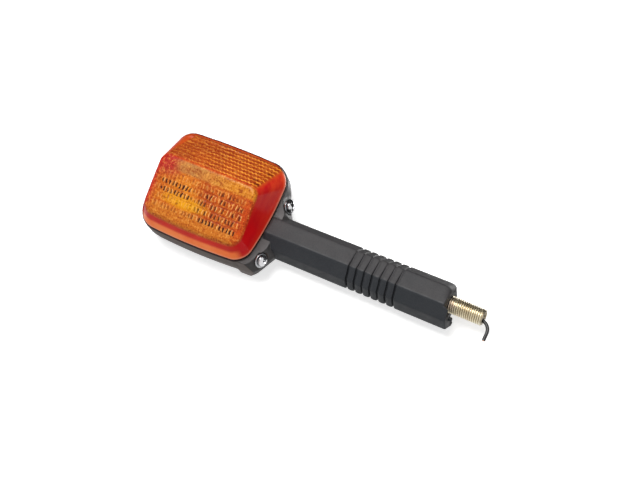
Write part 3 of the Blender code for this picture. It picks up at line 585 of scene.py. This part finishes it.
def upper_colours(s, u, v):
    """Colour of the sloping upper face: brown-orange rows with wavy lines of painted highlight and of
    painted shade.
    """
    slow = s.spread(s.noise(60, 4), 0, 1, 0.35, 0.65)
    body = s.mix(slow, shade(160, 60, 20), shade(188, 82, 26))
    wave = s.product(s.math("SINE", s.product(u, 2 * math.pi / WAVE_LENGTH)), WAVE)
    ragged = s.product(s.math("SUBTRACT", s.noise(230, 2), 0.5), s.spread(u, 1.5, 0.3, 10 * MM, 40 * MM))
    row = s.math("ADD", s.share(v, FACE_HEIGHT, UPPER_ROW), s.math("ADD", wave, ragged))
    in_row = s.math("FRACT", row)
    chance = s.cells(s.math("DIVIDE", u, 3.1 * MM), row)
    rightwards = s.spread(u, 0.35, 1.0, 14 * MM, 40 * MM)
    # painted highlight: bright wavy lines; painted shade: dark lines at the steps of the rows
    bright = s.product(s.stripe(in_row, 0.74, 0.09, 0.10), s.spread(chance, 0.5, 1, 0.1, 0.5), rightwards)
    painted_shade_lines = s.product(s.stripe(in_row, 0.10, 0.04, 0.14), s.spread(s.noise(200, 2), 0.2, 1, 0.4, 0.62))
    body = s.mix(s.product(painted_shade_lines, 0.7), body, shade(126, 34, 12))
    body = s.mix(s.product(bright, 0.95), body, shade(250, 156, 50))
    ticks = s.product(s.stripe(in_row, 0.2, 0.10, 0.12), s.spread(chance, 0, 1, 0.45, 0.55),
                      s.patch(u, v, (59, 45), (5, 13), 0.6))
    body = s.mix(ticks, body, shade(84, 22, 14))
    edge = s.product(0.75, s.stripe(v, FACE_HEIGHT + 0.4 * MM, 0.5 * MM, 1.2 * MM))
    return grained(s, s.mix(edge, body, shade(196, 66, 26)), 0.7)


def wall_colours(s, v, drop, stem, end):
    """Colour of the side walls, seen through their full depth: red near the front, orange at the lip."""
    slow = s.spread(s.noise(55, 4), 0, 1, 0.35, 0.65)
    under = s.mix(s.spread(drop, 0, 1, 0.42, 0.60), s.mix(slow, shade(188, 30, 22), shade(208, 44, 26)),
                  s.mix(slow, shade(238, 112, 52), shade(246, 138, 74)))
    height = s.spread(v, 0, 1, 14 * MM, 58 * MM)
    streak = s.spread(s.noise(130, 3, 0.6, (1, 1, 0.35)), 0, 1, 0.42, 0.6)
    stem_side = s.mix(slow, shade(182, 6, 18), shade(200, 16, 20))
    streaks = s.mix(streak, shade(168, 26, 24), shade(198, 64, 30))
    stem_side = s.mix(s.product(height, 0.8), stem_side, streaks)
    stem_side = s.mix(s.spread(drop, 0.0, 0.35, 0.62, 0.95), stem_side, shade(216, 62, 28))
    walls = s.mix(stem, under, stem_side)
    return s.mix(end, walls, s.mix(slow, shade(158, 12, 30), shade(186, 30, 30)))


def amber():
    """Clear amber plastic: its colour deepens with the thickness that is looked through.

    The faint glow stands for light that wanders through the plastic, strongest in the thick walls.
    """
    s = Shader("amber_lens")
    fields = ("u", "v", "wall", "drop", "lip", "stem", "end", "optic", "upper")
    u, v, wall, drop, lip, stem, end, optic, upper = (s.attribute("lens_" + name) for name in fields)
    dark, light, lines = front_marks(s, u, v)
    # Painted light of the prisms: dark lines and ticks of painted shade, light glints of painted
    # highlight.
    front = s.mix(s.product(lines, optic, 0.7), front_colours(s, u, v), shade(140, 44, 16))
    front = s.mix(s.product(light, optic, 0.8), front, shade(252, 186, 104))
    front = s.mix(s.product(dark, optic, 0.95), front, shade(50, 18, 16))
    plain = s.mix(s.spread(s.noise(90, 3), 0, 1, 0.3, 0.7), shade(192, 62, 26), shade(212, 88, 32))
    face = s.mix(upper, front, s.mix(optic, plain, upper_colours(s, u, v)))
    whole = s.mix(wall, face, wall_colours(s, v, drop, stem, end))
    # Along the lip: a salmon painted highlight on the stem side and the bottom, dark painted shade on the
    # top and the end side.
    turned = s.most(end, s.math("SUBTRACT", upper, stem))
    edge = s.mix(turned, shade(240, 150, 120), shade(84, 22, 26))
    whole = s.mix(s.product(lip, 0.8), whole, edge)
    s.set(Base_Color=whole, Emission_Color=whole, Emission_Strength=s.spread(wall, 0.06, 0.28))
    s.set(Roughness=s.spread(s.noise(300, 3), 0.16, 0.3), IOR=1.49)
    s.set(Specular_IOR_Level=0.12, Transmission_Weight=s.spread(wall, 0.08, 0.03))
    height = s.math("SUBTRACT", s.product(light, optic), s.product(s.most(dark, lines), optic))
    s.set(Normal=s.bump(height, 0.15 * MM, 0.5, s.bump(s.noise(260, 2), 0.06 * MM, 0.25)))
    return s.material


def make_lens():
    outer = lens_skin(0, 0, LIP_Y - 0.5 * MM, 80, 22)
    lip_edge = [outline(0.05 * MM, LIP_Y - 0.2 * MM), outline(0.3 * MM, LIP_Y)]
    inside = TONGUE_OFFSET + TONGUE_WALL
    tongue_y = LENS_HIGH.y
    rim = [outline(TONGUE_OFFSET, LIP_Y), outline(TONGUE_OFFSET, tongue_y),
           outline(inside, tongue_y), outline(inside, LIP_Y - 1.5 * MM)]
    inner = lens_skin(LENS_WALL, LENS_WALL + 0.2 * MM, LIP_Y - 3.5 * MM, 60, 22)
    outside = np.array([[tuple(p) for p in loop] for loop in outer + lip_edge + rim])
    within = np.array([[tuple(p) for p in loop] for loop in inner])
    outside[..., 1] -= 0.16 * MM * relief(optic_fields(outside.reshape(-1, 3))).reshape(outside.shape[:2])
    inner_fields = optic_fields(within.reshape(-1, 3) - (0, LENS_WALL, 0))
    within[..., 1] += 0.5 * MM * relief(inner_fields).reshape(within.shape[:2])
    loops = np.concatenate([outside, within[::-1]])
    mesh = loft("amber_lens", loops, attributes=optic_fields(loops.reshape(-1, 3)))
    lens = new_piece("amber_lens", mesh, amber())
    stand_in(lens, "lens", "lens")


def make_gasket():
    low, high = GASKET_LOW.y, GASKET_HIGH.y
    swell = 0.15 * MM
    loops = [outline(0.5 * MM - swell, (low + high) / 2), outline(0.5 * MM, low), outline(1.9 * MM, low),
             outline(1.9 * MM, high), outline(0.5 * MM, high)]
    rubber = moulded("gasket_rubber", (0.010, 0.010, 0.011), (0.024, 0.023, 0.024), (0.5, 0.75))
    gasket = new_piece("seal_ring", loft("seal_ring", loops, ring=True), rubber)
    stand_in(gasket, "lamp_head", "lens_gasket")


# ---- housing
WALL = 2.2 * MM
BACK_ROUND = 6 * MM


def hollow(skin, front):
    """Loops round the inside of the head, skin in from its outside."""
    return [outline(skin, front), outline(skin + 0.4 * MM, BACK_Y - BACK_ROUND),
            outline(skin + 2.5 * MM, BACK_Y - skin)]


def housing_shell():
    level = BACK_Y - BACK_ROUND
    wide = {"span_x": (LIP_X[0] - 0.4 * MM, LIP_X[1]), "span_z": (LIP_Z[0], LIP_Z[1] + 0.6 * MM)}
    outer = [outline(-0.5 * MM, RIM_Y, **wide), outline(-0.3 * MM, 0, **wide), outline(0.4 * MM, level)]
    for k in range(1, 9):
        turn = math.radians(90 * k / 8)
        outer.append(outline(0.4 * MM + BACK_ROUND * (1 - math.cos(turn)),
                             level + BACK_ROUND * math.sin(turn)))
    return loft("shell", outer[::-1] + hollow(WALL, RIM_Y))


def shoulder_block():
    crest = ((-125, -25.6), (-113.6, -25.4), (-111.4, -23.3), (-105.8, -11.5),
             (-105.8, 11.5), (-110.5, 18.3), (-117, 28.5), (-125, 34.0))
    levels = ((RIM_Y, -3.4), (-0.5 * MM, 0), (4.3 * MM, -0.9), (BACK_Y - 0.6 * MM, -4.5))
    loops = []
    for y, back_off in levels:
        loops.append([((x + (back_off if x > -124 else 0)) * MM, y, z * MM) for x, z in crest])
    return loft("shoulder", loops)


def section(x, depth=0.0):
    """Points of the eight-sided stem section at x, cut in by depth, one number or one per point."""
    size = 1 + STEM_TAPER * (0.5 - x / COLLAR_X)
    push = np.zeros(STEM_SIDES)
    for facet in STEM_FACETS:
        push += np.maximum(np.cos(STEM_ANGLES - math.radians(facet)), 0) ** STEM_SHARPNESS
    return circle(x, size * STEM_REACH / push ** (1 / STEM_SHARPNESS) - depth)


def circle(x, radius, z=0.0):
    """Points round the stem at x, at one radius or one for each point."""
    across, up = -radius * np.cos(STEM_ANGLES), z + radius * np.sin(STEM_ANGLES)
    return np.stack([np.full(STEM_SIDES, x), across, up], 1)


def screw_frame(sign):
    """Seat of the upper (1) or lower (-1) screw, Z out along its axis."""
    out = Vector((math.cos(SCREW_TILT) * math.cos(SCREW_FAN), -math.sin(SCREW_TILT),
                  sign * math.cos(SCREW_TILT) * math.sin(SCREW_FAN)))
    turn = out.to_track_quat("Z", "Y").to_matrix().to_4x4()
    return Matrix.Translation((SEAT.x, SEAT.y, sign * SEAT.z)) @ turn


def make_housing():
    along_x = Matrix.Rotation(math.radians(90), 4, "Y")
    collar = loft("collar", [section(LIP_X[1] + LIP_BOWS[0] + GAP, 0.3 * MM),
                             section(COLLAR_X - GAP, 0.3 * MM)])
    inside = loft("inside", hollow(WALL + 0.1 * MM, RIM_Y - 1 * MM))
    steps = [(shoulder_block(), None, "UNION"), (collar, None, "UNION"), (inside, None, "DIFFERENCE"),
             (rod(8.3 * MM, -126 * MM, -104 * MM), along_x, "DIFFERENCE")]
    # Radius, start and end in mm of the washer's recess, the shank's hole and the nut's pocket.
    holes = ((5, 0, 12), (2.3, -16, 1), (4.5, -17, -9.6))
    for sign in (1, -1):
        for radius, start, end in holes:
            steps.append((rod(radius * MM, start * MM, end * MM), screw_frame(sign), "DIFFERENCE"))
    mesh = melt(carve(housing_shell(), steps), 0.42 * MM, 4)
    # The underside is given a lighter tone: painted bounce light from below.
    plastic = moulded("housing_plastic", (0.034, 0.033, 0.034), (0.060, 0.055, 0.054), (0.42, 0.56),
                      painted_light_tone=(0.20, 0.15, 0.13), faces=(-0.75, -1.0))
    housing = new_piece("moulded_housing", mesh, plastic)
    stand_in(housing, "lamp_head", "housing")


# ---- stem
def groove_depth(x):
    """Depths round the section at x: narrow grooves between soft ridges, deepest on the underside."""
    away = min(abs(x - centre) for centre in GROOVES)
    slot = max(0.0, 1 - (away / (GROOVE_WIDTH * 0.36)) ** 4)
    inside = GROOVES[0] < x < GROOVES[-1]
    shoulder = GROOVE_PITCH / 2 if inside else 1.5 * MM
    swell = max(0.0, 1 - away / shoulder) ** 1.6
    share = 0.45 + 0.55 * np.clip(0.55 - 1.2 * np.sin(STEM_ANGLES), 0, 1)
    return min((GROOVE_DEPTH - 0.5 * MM) * slot + 0.55 * MM * swell, GROOVE_DEPTH) * share


def stem_loops(start, end):
    """Outer loops from start to end, close together at the grooves so that they show."""
    plain, fine = 1.2 * MM, 0.12 * MM
    loops, x = [], start
    while x < end - fine / 2:
        loops.append(section(x, groove_depth(x)))
        near = GROOVES[0] - 1.8 * MM < x < GROOVES[-1] + 1.8 * MM
        x = min(x + (fine if near else plain), end)
    loops.append(section(end, groove_depth(end)))
    return loops


def make_stem():
    # The upward faces are given a lighter tone: painted light from above.
    rubber = moulded("stem_rubber", (0.015, 0.018, 0.022), (0.025, 0.027, 0.031), (0.46, 0.62),
                     grain=1300, speckle=0.26, painted_light_tone=(0.045, 0.042, 0.043))
    cuts = [GROOVES[n] for n in (0, 2, 4, 6)]
    core, core_end, neck = 5.3 * MM, -63.7 * MM, 8 * MM
    neck_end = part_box("stem_head")[0].x
    sleeve = LIP_X[1] + LIP_BOWS[0] + 2 * GAP
    front = [circle(CUT_FRONT, STEM_BORE), circle(core_end, STEM_BORE), circle(core_end, core),
             circle(neck_end, core), circle(neck_end, neck), circle(sleeve, neck),
             section(sleeve, 0.3 * MM)]
    mesh = loft("rubber_head", front + stem_loops(sleeve + 0.2 * MM, cuts[0]), ring=True)
    stand_in(new_piece("rubber_head", mesh, rubber, 60), "lamp_head", "stem_head")
    parts = (("front", "stem_middle", "lamp_head"), ("middle", "stem_middle", None),
             ("rear", "stem_base", "stem_middle"))
    for (part, body, next_body), start, end in zip(parts, cuts, cuts[1:]):
        bore = [circle(end - (end - start) * k / 12, STEM_BORE) for k in range(13)]
        mesh = loft("rubber_" + part, stem_loops(start, end) + bore, ring=True)
        piece = new_piece("rubber_" + part, mesh, rubber, 60)
        if next_body:
            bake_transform(piece)
        else:
            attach(piece, body)
        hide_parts("flex_" + part)
    make_stem_base(cuts[3], rubber)


def ledged(points):
    """Move the points below the stud forwards, where the mounting face stands out as a ledge."""
    points[:, 0] += LEDGE * np.clip((-4.2 * MM - points[:, 2]) / (1.0 * MM), 0, 1)
    return points


END_ROUND = 4.5 * MM  # length of the rounding towards the mounting face


def end_section(x, depth, top_depth):
    """Stem section near the mounting face, cut in further along its top."""
    low, high = section(x, depth), section(x, top_depth)
    share = np.clip(low[:, 2:3] / (8 * MM), 0, 1)
    return ledged(low * (1 - share) + high * share)


def make_stem_base(start, rubber):
    outer = stem_loops(start, -END_ROUND)
    for k in range(1, 13):
        t = k / 12
        x = -END_ROUND + END_ROUND * math.sin(math.radians(90 * t))
        outer.append(end_section(x, 0.8 * MM * t ** 8, 3.3 * MM * t ** 2.2))
    hole, plate, plate_front, plate_back = 5.3 * MM, 9.3 * MM, -10 * MM, -14 * MM
    inner = [ledged(circle(0, radius * MM, STUD_Z)) for radius in (8, 6.6, 6.1)]
    inner += [circle(0, hole, STUD_Z), circle(plate_front, hole, STUD_Z),
              circle(plate_front, plate, STUD_Z), circle(plate_back, plate, STUD_Z),
              circle(plate_back, STEM_BORE, STUD_Z / 2), circle(start, STEM_BORE)]
    mesh = loft("rubber_base", outer + inner, ring=True)
    peg_place = Matrix.Translation((0, 0, -6.6 * MM)) @ Matrix.Rotation(math.radians(90), 4, "Y")
    profile = ((0.01, -0.5), (1.4, -0.5), (1.35, 3.6), (1.15, 4.2), (0.8, 4.5), (0.01, 4.5))
    peg = spun("peg", [(radius * MM, x * MM) for radius, x in profile], 48, closed=False)
    mesh = carve(mesh, [(peg, peg_place, "UNION")])
    base = new_piece("rubber_base", mesh, rubber, 60)
    stand_in(base, "stem_base", "stem_base")


# ---- threads, stud and screws
def helix(profile, pitch, start, end, steps, fine):
    """Loops of a rod threaded along Z, fine of them to a pitch; profile(phase, height) is its radius."""
    rows = int(round((end - start) / (pitch / fine)))
    loops = []
    for row in range(rows + 1):
        h = start + (end - start) * row / rows
        loop = []
        for k in range(steps):
            phase = (h / pitch - k / steps) % 1.0
            radius = profile(phase, h)
            angle = 2 * math.pi * k / steps
            loop.append((radius * math.cos(angle), radius * math.sin(angle), h))
        loops.append(loop)
    return loops


def thread(phase, root, crest):
    """Radius of a rounded V thread at this part of its pitch."""
    rise = 1 - abs(2 * phase - 1)
    rise = min(max((rise - 0.12) / 0.72, 0), 1)
    return root + (crest - root) * rise * rise * (3 - 2 * rise)


def from_axis(s):
    """Distance of the shaded point from the Z axis of its object."""
    return s.length(s.node("Mapping", Vector=s.where, Scale=(1, 1, 0)).outputs[0])


def yellow_zinc():
    """Yellow passivate on zinc: gold with faint green and pink flushes, darkened in the thread roots by
    painted shade and dirt.
    """
    s = Shader("yellow_zinc")
    gold = s.mix(s.spread(s.noise(120, 3), 0, 1, 0.35, 0.65), (0.70, 0.60, 0.40), (0.90, 0.84, 0.66))
    gold = s.mix(s.spread(s.noise(70, 2), 0, 0.4, 0.52, 0.66), gold, (0.70, 0.72, 0.42))
    gold = s.mix(s.spread(s.noise(85, 2), 0, 0.5, 0.52, 0.64), gold, (0.84, 0.58, 0.50))
    # painted shade and dirt in the thread roots
    root = s.spread(from_axis(s), 0.6, 0, 4.4 * MM, 4.75 * MM)
    s.set(Base_Color=s.mix(root, gold, (0.13, 0.09, 0.06)), Metallic=1.0)
    s.set(Roughness=s.spread(s.noise(600, 3), 0.26, 0.40, 0.3, 0.7))
    s.set(Normal=s.bump(s.noise(1500, 2), 0.01 * MM, 0.3))
    return s.material


def make_stud():
    root, crest, bore = 4.35 * MM, 5.0 * MM, 2.9 * MM
    pitch = 1.25 * MM

    def profile(phase, h):
        taper = crest - max(0, h - (STUD_END - 0.9 * MM)) * 0.9
        return max(min(thread(phase, root, crest), taper), bore + 0.4 * MM)

    start, plate_front, plate_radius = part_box("stud")[0].x, -10.3 * MM, 9 * MM
    skin = helix(profile, pitch, 0.2 * MM, STUD_END, 96, 12)
    plate = [round_loop(root, 0), round_loop(root, plate_front), round_loop(plate_radius, plate_front),
             round_loop(plate_radius, start), round_loop(bore, start)]
    mouth = [round_loop(bore, STUD_END - 0.4 * MM), round_loop(bore + 0.3 * MM, STUD_END)]
    mesh = loft("threaded_stud", plate[::-1] + skin + mouth[::-1], ring=True)
    stud = new_piece("threaded_stud", mesh, yellow_zinc(), 50)
    stud.matrix_world = Matrix.Translation((0, 0, STUD_Z)) @ Matrix.Rotation(math.radians(90), 4, "Y")
    stand_in(stud, "stem_base", "stud")


def screw_mesh(name):
    """Pan head with a cross recess and a threaded shank."""
    under = SCREW_UNDER
    head, shank, length = 3.3 * MM, 1.9 * MM, 15.2 * MM
    tall, edge, chamfer = 2.3 * MM, 0.55 * MM, 0.15 * MM
    outside = []
    for k in range(11):
        turn = math.radians(90 * max(k, 0.15) / 10)
        outside.append((head * math.sin(turn) ** 0.8, under + edge + (tall - edge) * math.cos(turn)))
    outside += [(head, under + chamfer), (head - chamfer, under), (shank, under)]
    rings = [round_loop(radius, height, 72) for radius, height in outside]

    def profile(phase, h):
        tip = max(0, (under - length + 1.2 * MM) - h)
        return max(min(thread(phase, 1.5 * MM, shank), shank - tip * 0.7), 0.9 * MM)

    rings += helix(profile, 0.7 * MM, under - length, under - 1.0 * MM, 72, 8)[::-1]
    cross = []
    for turn in (0, 90):
        blade = bmesh.new()
        bmesh.ops.create_cone(blade, cap_ends=True, segments=4, radius1=0.25 * MM, radius2=2.0 * MM,
                              depth=2.6 * MM)
        bmesh.ops.rotate(blade, verts=blade.verts, matrix=Matrix.Rotation(math.radians(45), 3, "Z"))
        bmesh.ops.scale(blade, vec=(1.35, 0.42, 1), verts=blade.verts)
        bmesh.ops.rotate(blade, verts=blade.verts, matrix=Matrix.Rotation(math.radians(turn), 3, "Z"))
        bmesh.ops.translate(blade, verts=blade.verts, vec=(0, 0, under + 2.1 * MM))
        cross.append((mesh_from(blade, "blade"), None, "DIFFERENCE"))
    return carve(loft(name, rings), cross)


def screw_plating():
    """Bright plating, with painted shade inside the cross recess and round the edge of the head."""
    s = Shader("screw_plating")
    away = from_axis(s)
    height = s.node("SeparateXYZ", Vector=s.where).outputs["Z"]
    recess = s.product(s.spread(height, 1, 0, SCREW_UNDER + 1.6 * MM, SCREW_UNDER + 1.9 * MM),
                       s.spread(away, 1, 0, 2.0 * MM, 2.3 * MM))
    shadow = s.most(recess, s.spread(away, 0, 0.75, 2.8 * MM, 3.2 * MM))
    bright = s.mix(s.spread(s.noise(140, 5, 0.6), 0, 1, 0.3, 0.7), (0.72, 0.73, 0.75), (0.88, 0.88, 0.89))
    s.set(Base_Color=s.mix(shadow, bright, (0.03, 0.03, 0.035)), Metallic=1.0)
    scratch = s.noise(900, 3, 0.7)
    s.set(Roughness=s.spread(scratch, 0.05, 0.16, 0.3, 0.7), Normal=s.bump(scratch, 0.02 * MM, 0.35))
    return s.material


def make_fasteners():
    chrome = screw_plating()
    zinc = metal("washer_plating", (0.34, 0.35, 0.37), (0.60, 0.61, 0.63), (0.12, 0.26), 900)
    washer_profile = rounded([(2.3 * MM, GAP), (4.4 * MM, GAP), (4.4 * MM, GAP + 0.9 * MM),
                              (2.3 * MM, GAP + 0.9 * MM)], 0.22 * MM)
    for side, sign in (("upper", 1), ("lower", -1)):
        screw = new_piece(side + "_pan_screw", screw_mesh(side + "_pan_screw"), chrome, 35)
        washer = new_piece(side + "_plain_washer", spun(side + "_plain_washer", washer_profile), zinc,
                           35)
        for piece, node in ((screw, side + "_screw"), (washer, side + "_washer")):
            piece.matrix_world = screw_frame(sign)
            stand_in(piece, node, node)


# ---- wires
def tube_along(name, path, radius, steps=28, level=(0, 1, 0)):
    """Round wire skin along a path of points that never runs along level, with flat ends."""
    points = [Vector(p) for p in path]
    loops = []
    for k, point in enumerate(points):
        ahead = (points[min(k + 1, len(points) - 1)] - points[max(k - 1, 0)]).normalized()
        side = ahead.cross(Vector(level)).normalized()
        up = side.cross(ahead)
        loops.append([point + side * radius * math.cos(2 * math.pi * n / steps)
                      + up * radius * math.sin(2 * math.pi * n / steps) for n in range(steps)])
    return loft(name, loops)


def bent_path(corners, radius):
    """Points along the corners, with a curve in place of each one."""
    path, steps = [Vector(corners[0])], 10
    for before, corner, after in zip(corners, corners[1:], corners[2:]):
        before, corner, after = Vector(before), Vector(corner), Vector(after)
        back = (before - corner).normalized() * min(radius, (before - corner).length / 2)
        ahead = (after - corner).normalized() * min(radius, (after - corner).length / 2)
        for k in range(steps + 1):
            t = k / steps
            path.append(corner + back * (1 - t) ** 2 + ahead * t ** 2)
    path.append(Vector(corners[-1]))
    return path


def make_tail():
    radius = 1.0 * MM
    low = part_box("live_wire_tail")[0]
    drop = STUD_END + 4.8 * MM
    corners = [(low.x, 0, 0), (-20 * MM, 0, 0), (-8 * MM, 0, 0.9 * MM), (STUD_END - 2 * MM, 0, 0.9 * MM),
               (drop, 0, -2.6 * MM), (drop + 0.1 * MM, 0, -10.7 * MM)]
    path = bent_path(corners, 4.2 * MM)
    skin = moulded("wire_skin", (0.010, 0.010, 0.011), (0.022, 0.021, 0.022), (0.3, 0.45), coat=0.2)
    wire = new_piece("wire_tail", tube_along("wire_tail", path, radius), skin, 50)
    stand_in(wire, "stem_base", "live_wire_tail")
    copper = metal("copper_strands", (0.62, 0.27, 0.13), (0.80, 0.42, 0.22), (0.2, 0.4))
    end, lay = path[-1], 0.36 * MM
    bm = bmesh.new()
    for x, y in [(0, 0)] + [(lay * math.cos(a), lay * math.sin(a)) for a in np.arange(6) * math.pi / 3]:
        ends = [end + Vector((x, y, 0.3 * MM)), end + Vector((x, y, -0.25 * MM))]
        bm.from_mesh(tube_along("strand", ends, 0.17 * MM, 12))
    strands = new_piece("wire_strands", mesh_from(bm, "wire_strands"), copper, 50)
    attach(strands, "stem_base")


def make_contact_spring():
    """Coil between the socket's floor and the contact disc."""
    low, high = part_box("contact_spring")
    wire = 0.3 * MM
    middle, reach = (low + high) / 2, (high.z - low.z) / 2 - wire
    turns, around = 2.5, 40
    path = []
    for k in range(int(turns * around) + 1):
        share, angle = k / (turns * around), 2 * math.pi * k / around
        path.append((low.x + wire + (high.x - low.x - 2 * wire) * share,
                     middle.y + reach * math.cos(angle), middle.z + reach * math.sin(angle)))
    steel = metal("spring_steel", (0.42, 0.43, 0.45), (0.62, 0.63, 0.65), (0.2, 0.4), 900)
    mesh = tube_along("coil_spring", path, wire, 16, level=(1, 0, 0))
    spring = new_piece("coil_spring", mesh, steel, 50)
    stand_in(spring, "lamp_head", "contact_spring")
    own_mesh(spring)


# ---- pieces carried over from the CAD
def glass():
    s = Shader("bulb_glass")
    s.set(Base_Color=s.mix(s.noise(90, 3), (0.93, 0.95, 0.95), (1.0, 1.0, 1.0)))
    s.set(Transmission_Weight=1.0, IOR=1.12, Roughness=s.spread(s.noise(300, 3), 0.0, 0.05))
    return s.material


def mirror_coat():
    """Vacuum plated plastic: bright, with the faint orange peel of the moulding below."""
    s = Shader("reflector_plating")
    s.set(Base_Color=s.mix(s.noise(60, 3), (0.80, 0.80, 0.81), (0.90, 0.90, 0.90)), Metallic=1.0)
    s.set(Roughness=s.spread(s.noise(220, 3), 0.10, 0.22))
    s.set(Normal=s.bump(s.noise(350, 2), 0.08 * MM, 0.4))
    return s.material


def dress_inside():
    brass = metal("brass", (0.55, 0.38, 0.13), (0.76, 0.58, 0.25), (0.25, 0.45))
    steel = metal("zinc_steel", (0.42, 0.43, 0.45), (0.62, 0.63, 0.65), (0.25, 0.45))
    black = moulded("black_insulation", (0.010, 0.010, 0.011), (0.022, 0.021, 0.022), (0.3, 0.45))
    fibre = moulded("pressed_fibre", (0.42, 0.36, 0.27), (0.60, 0.53, 0.42), (0.6, 0.8), grain=3500)
    looks = {
        brass: ("bulb_base", "bulb_socket", "contact_tip"),
        steel: ("socket_bracket", "bracket_screw", "stem_bracket", "upper_nut", "lower_nut",
                "bulb_filament"),
        black: ("bulb_contact", "live_wire_head", "live_wire_flex", "ground_wire", "wire_grommet"),
        fibre: ("contact_disc",),
        glass(): ("bulb_glass",),
        mirror_coat(): ("reflector",),
    }
    for material, nodes in looks.items():
        for node in nodes:
            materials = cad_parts[node].data.materials
            materials.clear()
            materials.append(material)


# ---- stage, light and camera
CAMERA_AT = Vector((188.6, -746.1, -204.7)) * MM
CAMERA_TO = Vector((-84.3, -5.0, 6.4)) * MM
CAMERA_ROLL = math.radians(-27.3)
FOCAL_MM = 80.3
SOFT_LIGHT = 0.33  # brightness of the room, as dull surfaces see it
PAPER_TONE = 0.80


def make_camera():
    optics = bpy.data.cameras.new("camera")
    optics.sensor_width = 36
    optics.lens = FOCAL_MM
    optics.clip_start = 0.01
    ahead = (CAMERA_TO - CAMERA_AT).normalized()
    right = ahead.cross(Vector((0, 0, 1))).normalized()
    up = right.cross(ahead)
    turned_up = up * math.cos(CAMERA_ROLL) + right * math.sin(CAMERA_ROLL)
    turned_right = ahead.cross(turned_up)
    turn = Matrix((turned_right, turned_up, -ahead)).transposed().to_4x4()
    bpy.context.scene.camera = placed("camera", optics, Matrix.Translation(CAMERA_AT) @ turn)
    return turned_right, turned_up, -ahead


def paper(name, brightness, glow, reach):
    """Pale surface seen from its front only, fading out with the distance from its middle."""
    s = Shader(name)
    tone = s.spread(s.noise(30, 4), brightness - 0.01, brightness + 0.01)
    s.set(Base_Color=tone, Roughness=0.9, Specular_IOR_Level=0.0)
    s.set(Emission_Color=(1, 1, 1, 1), Emission_Strength=glow)
    fade = s.spread(s.length(s.where), 0.0, 1.0, reach * 0.55, reach)
    behind = s.node("NewGeometry").outputs["Backfacing"]
    clear = s.node("BsdfTransparent").outputs[0]
    blend = s.node("MixShader")
    s.feed(blend.inputs[0], s.most(fade, behind))
    s.feed(blend.inputs[1], s.bsdf.outputs[0])
    s.feed(blend.inputs[2], clear)
    s.feed(s.tree.nodes["Material Output"].inputs["Surface"], blend.outputs[0])
    return s.material


def sheet(name, matrix, reach, material):
    bm = bmesh.new()
    bmesh.ops.create_grid(bm, x_segments=2, y_segments=2, size=reach)
    mesh = mesh_from(bm, name)
    mesh.materials.append(material)
    thing = placed(name, mesh, matrix)
    return thing


def area_light(name, place, aim, size, power):
    light = bpy.data.lights.new(name, "AREA")
    light.size = size
    light.energy = power
    turn = (aim - place).normalized().to_track_quat("-Z", "Y").to_matrix().to_4x4()
    placed(name, light, Matrix.Translation(place) @ turn)


def dim_for_reflections(tree):
    """A white room for soft light that shiny surfaces see as dark, with brighter clouds in it."""
    s = Nodes(tree)
    s.where = s.places["Generated"]
    rays = s.node("LightPath").outputs
    clouds = s.spread(s.noise(1.6, 1), 0.02, 0.9, 0.48, 0.56)
    seen = s.choose(rays["Is Glossy Ray"], SOFT_LIGHT, clouds)
    background = tree.nodes["Background"].inputs
    background["Color"].default_value = (1, 1, 1, 1)
    s.feed(background["Strength"], s.choose(rays["Is Camera Ray"], seen, 1.0))


def make_stage(right, up, back):
    low, high = (Vector(corner) for corner in CAD_BOX)
    middle = (low + high) / 2
    upright = Matrix.Rotation(math.radians(90), 4, "X")
    behind = Matrix.Translation((middle.x, high.y + 0.6 * MM, middle.z)) @ upright
    board = sheet("paper_behind", behind, 0.6, paper("paper_behind", PAPER_TONE, 0.62, 0.42))
    below = Matrix.Translation((middle.x, middle.y, low.z - 0.5 * MM))
    ground = sheet("paper_floor", below, 1.2, paper("paper_floor", PAPER_TONE, 0.4, 0.75))
    for paper_sheet in (board, ground):
        paper_sheet.visible_shadow = False
        paper_sheet.visible_diffuse = False
    board.visible_glossy = False
    board.visible_transmission = False
    world = bpy.data.worlds.new("studio")
    bpy.context.scene.world = world
    world.use_nodes = True
    dim_for_reflections(world.node_tree)
    area_light("key", middle + (up * 0.66 - right * 0.28 + back * 0.84), middle, 0.58, 12.5)
    area_light("fill", middle + (right * 0.3 + back * 1.0 - up * 0.3), middle, 0.8, 0.5)
    area_light("rim", middle + Vector((0.10, 0.70, 0.60)), middle, 0.35, 2.5)
    bpy.context.scene.view_settings.view_transform = "Standard"


make_lens()
make_gasket()
make_housing()
make_stem()
make_stud()
make_fasteners()
make_tail()
make_contact_spring()
dress_inside()
make_stage(*make_camera())
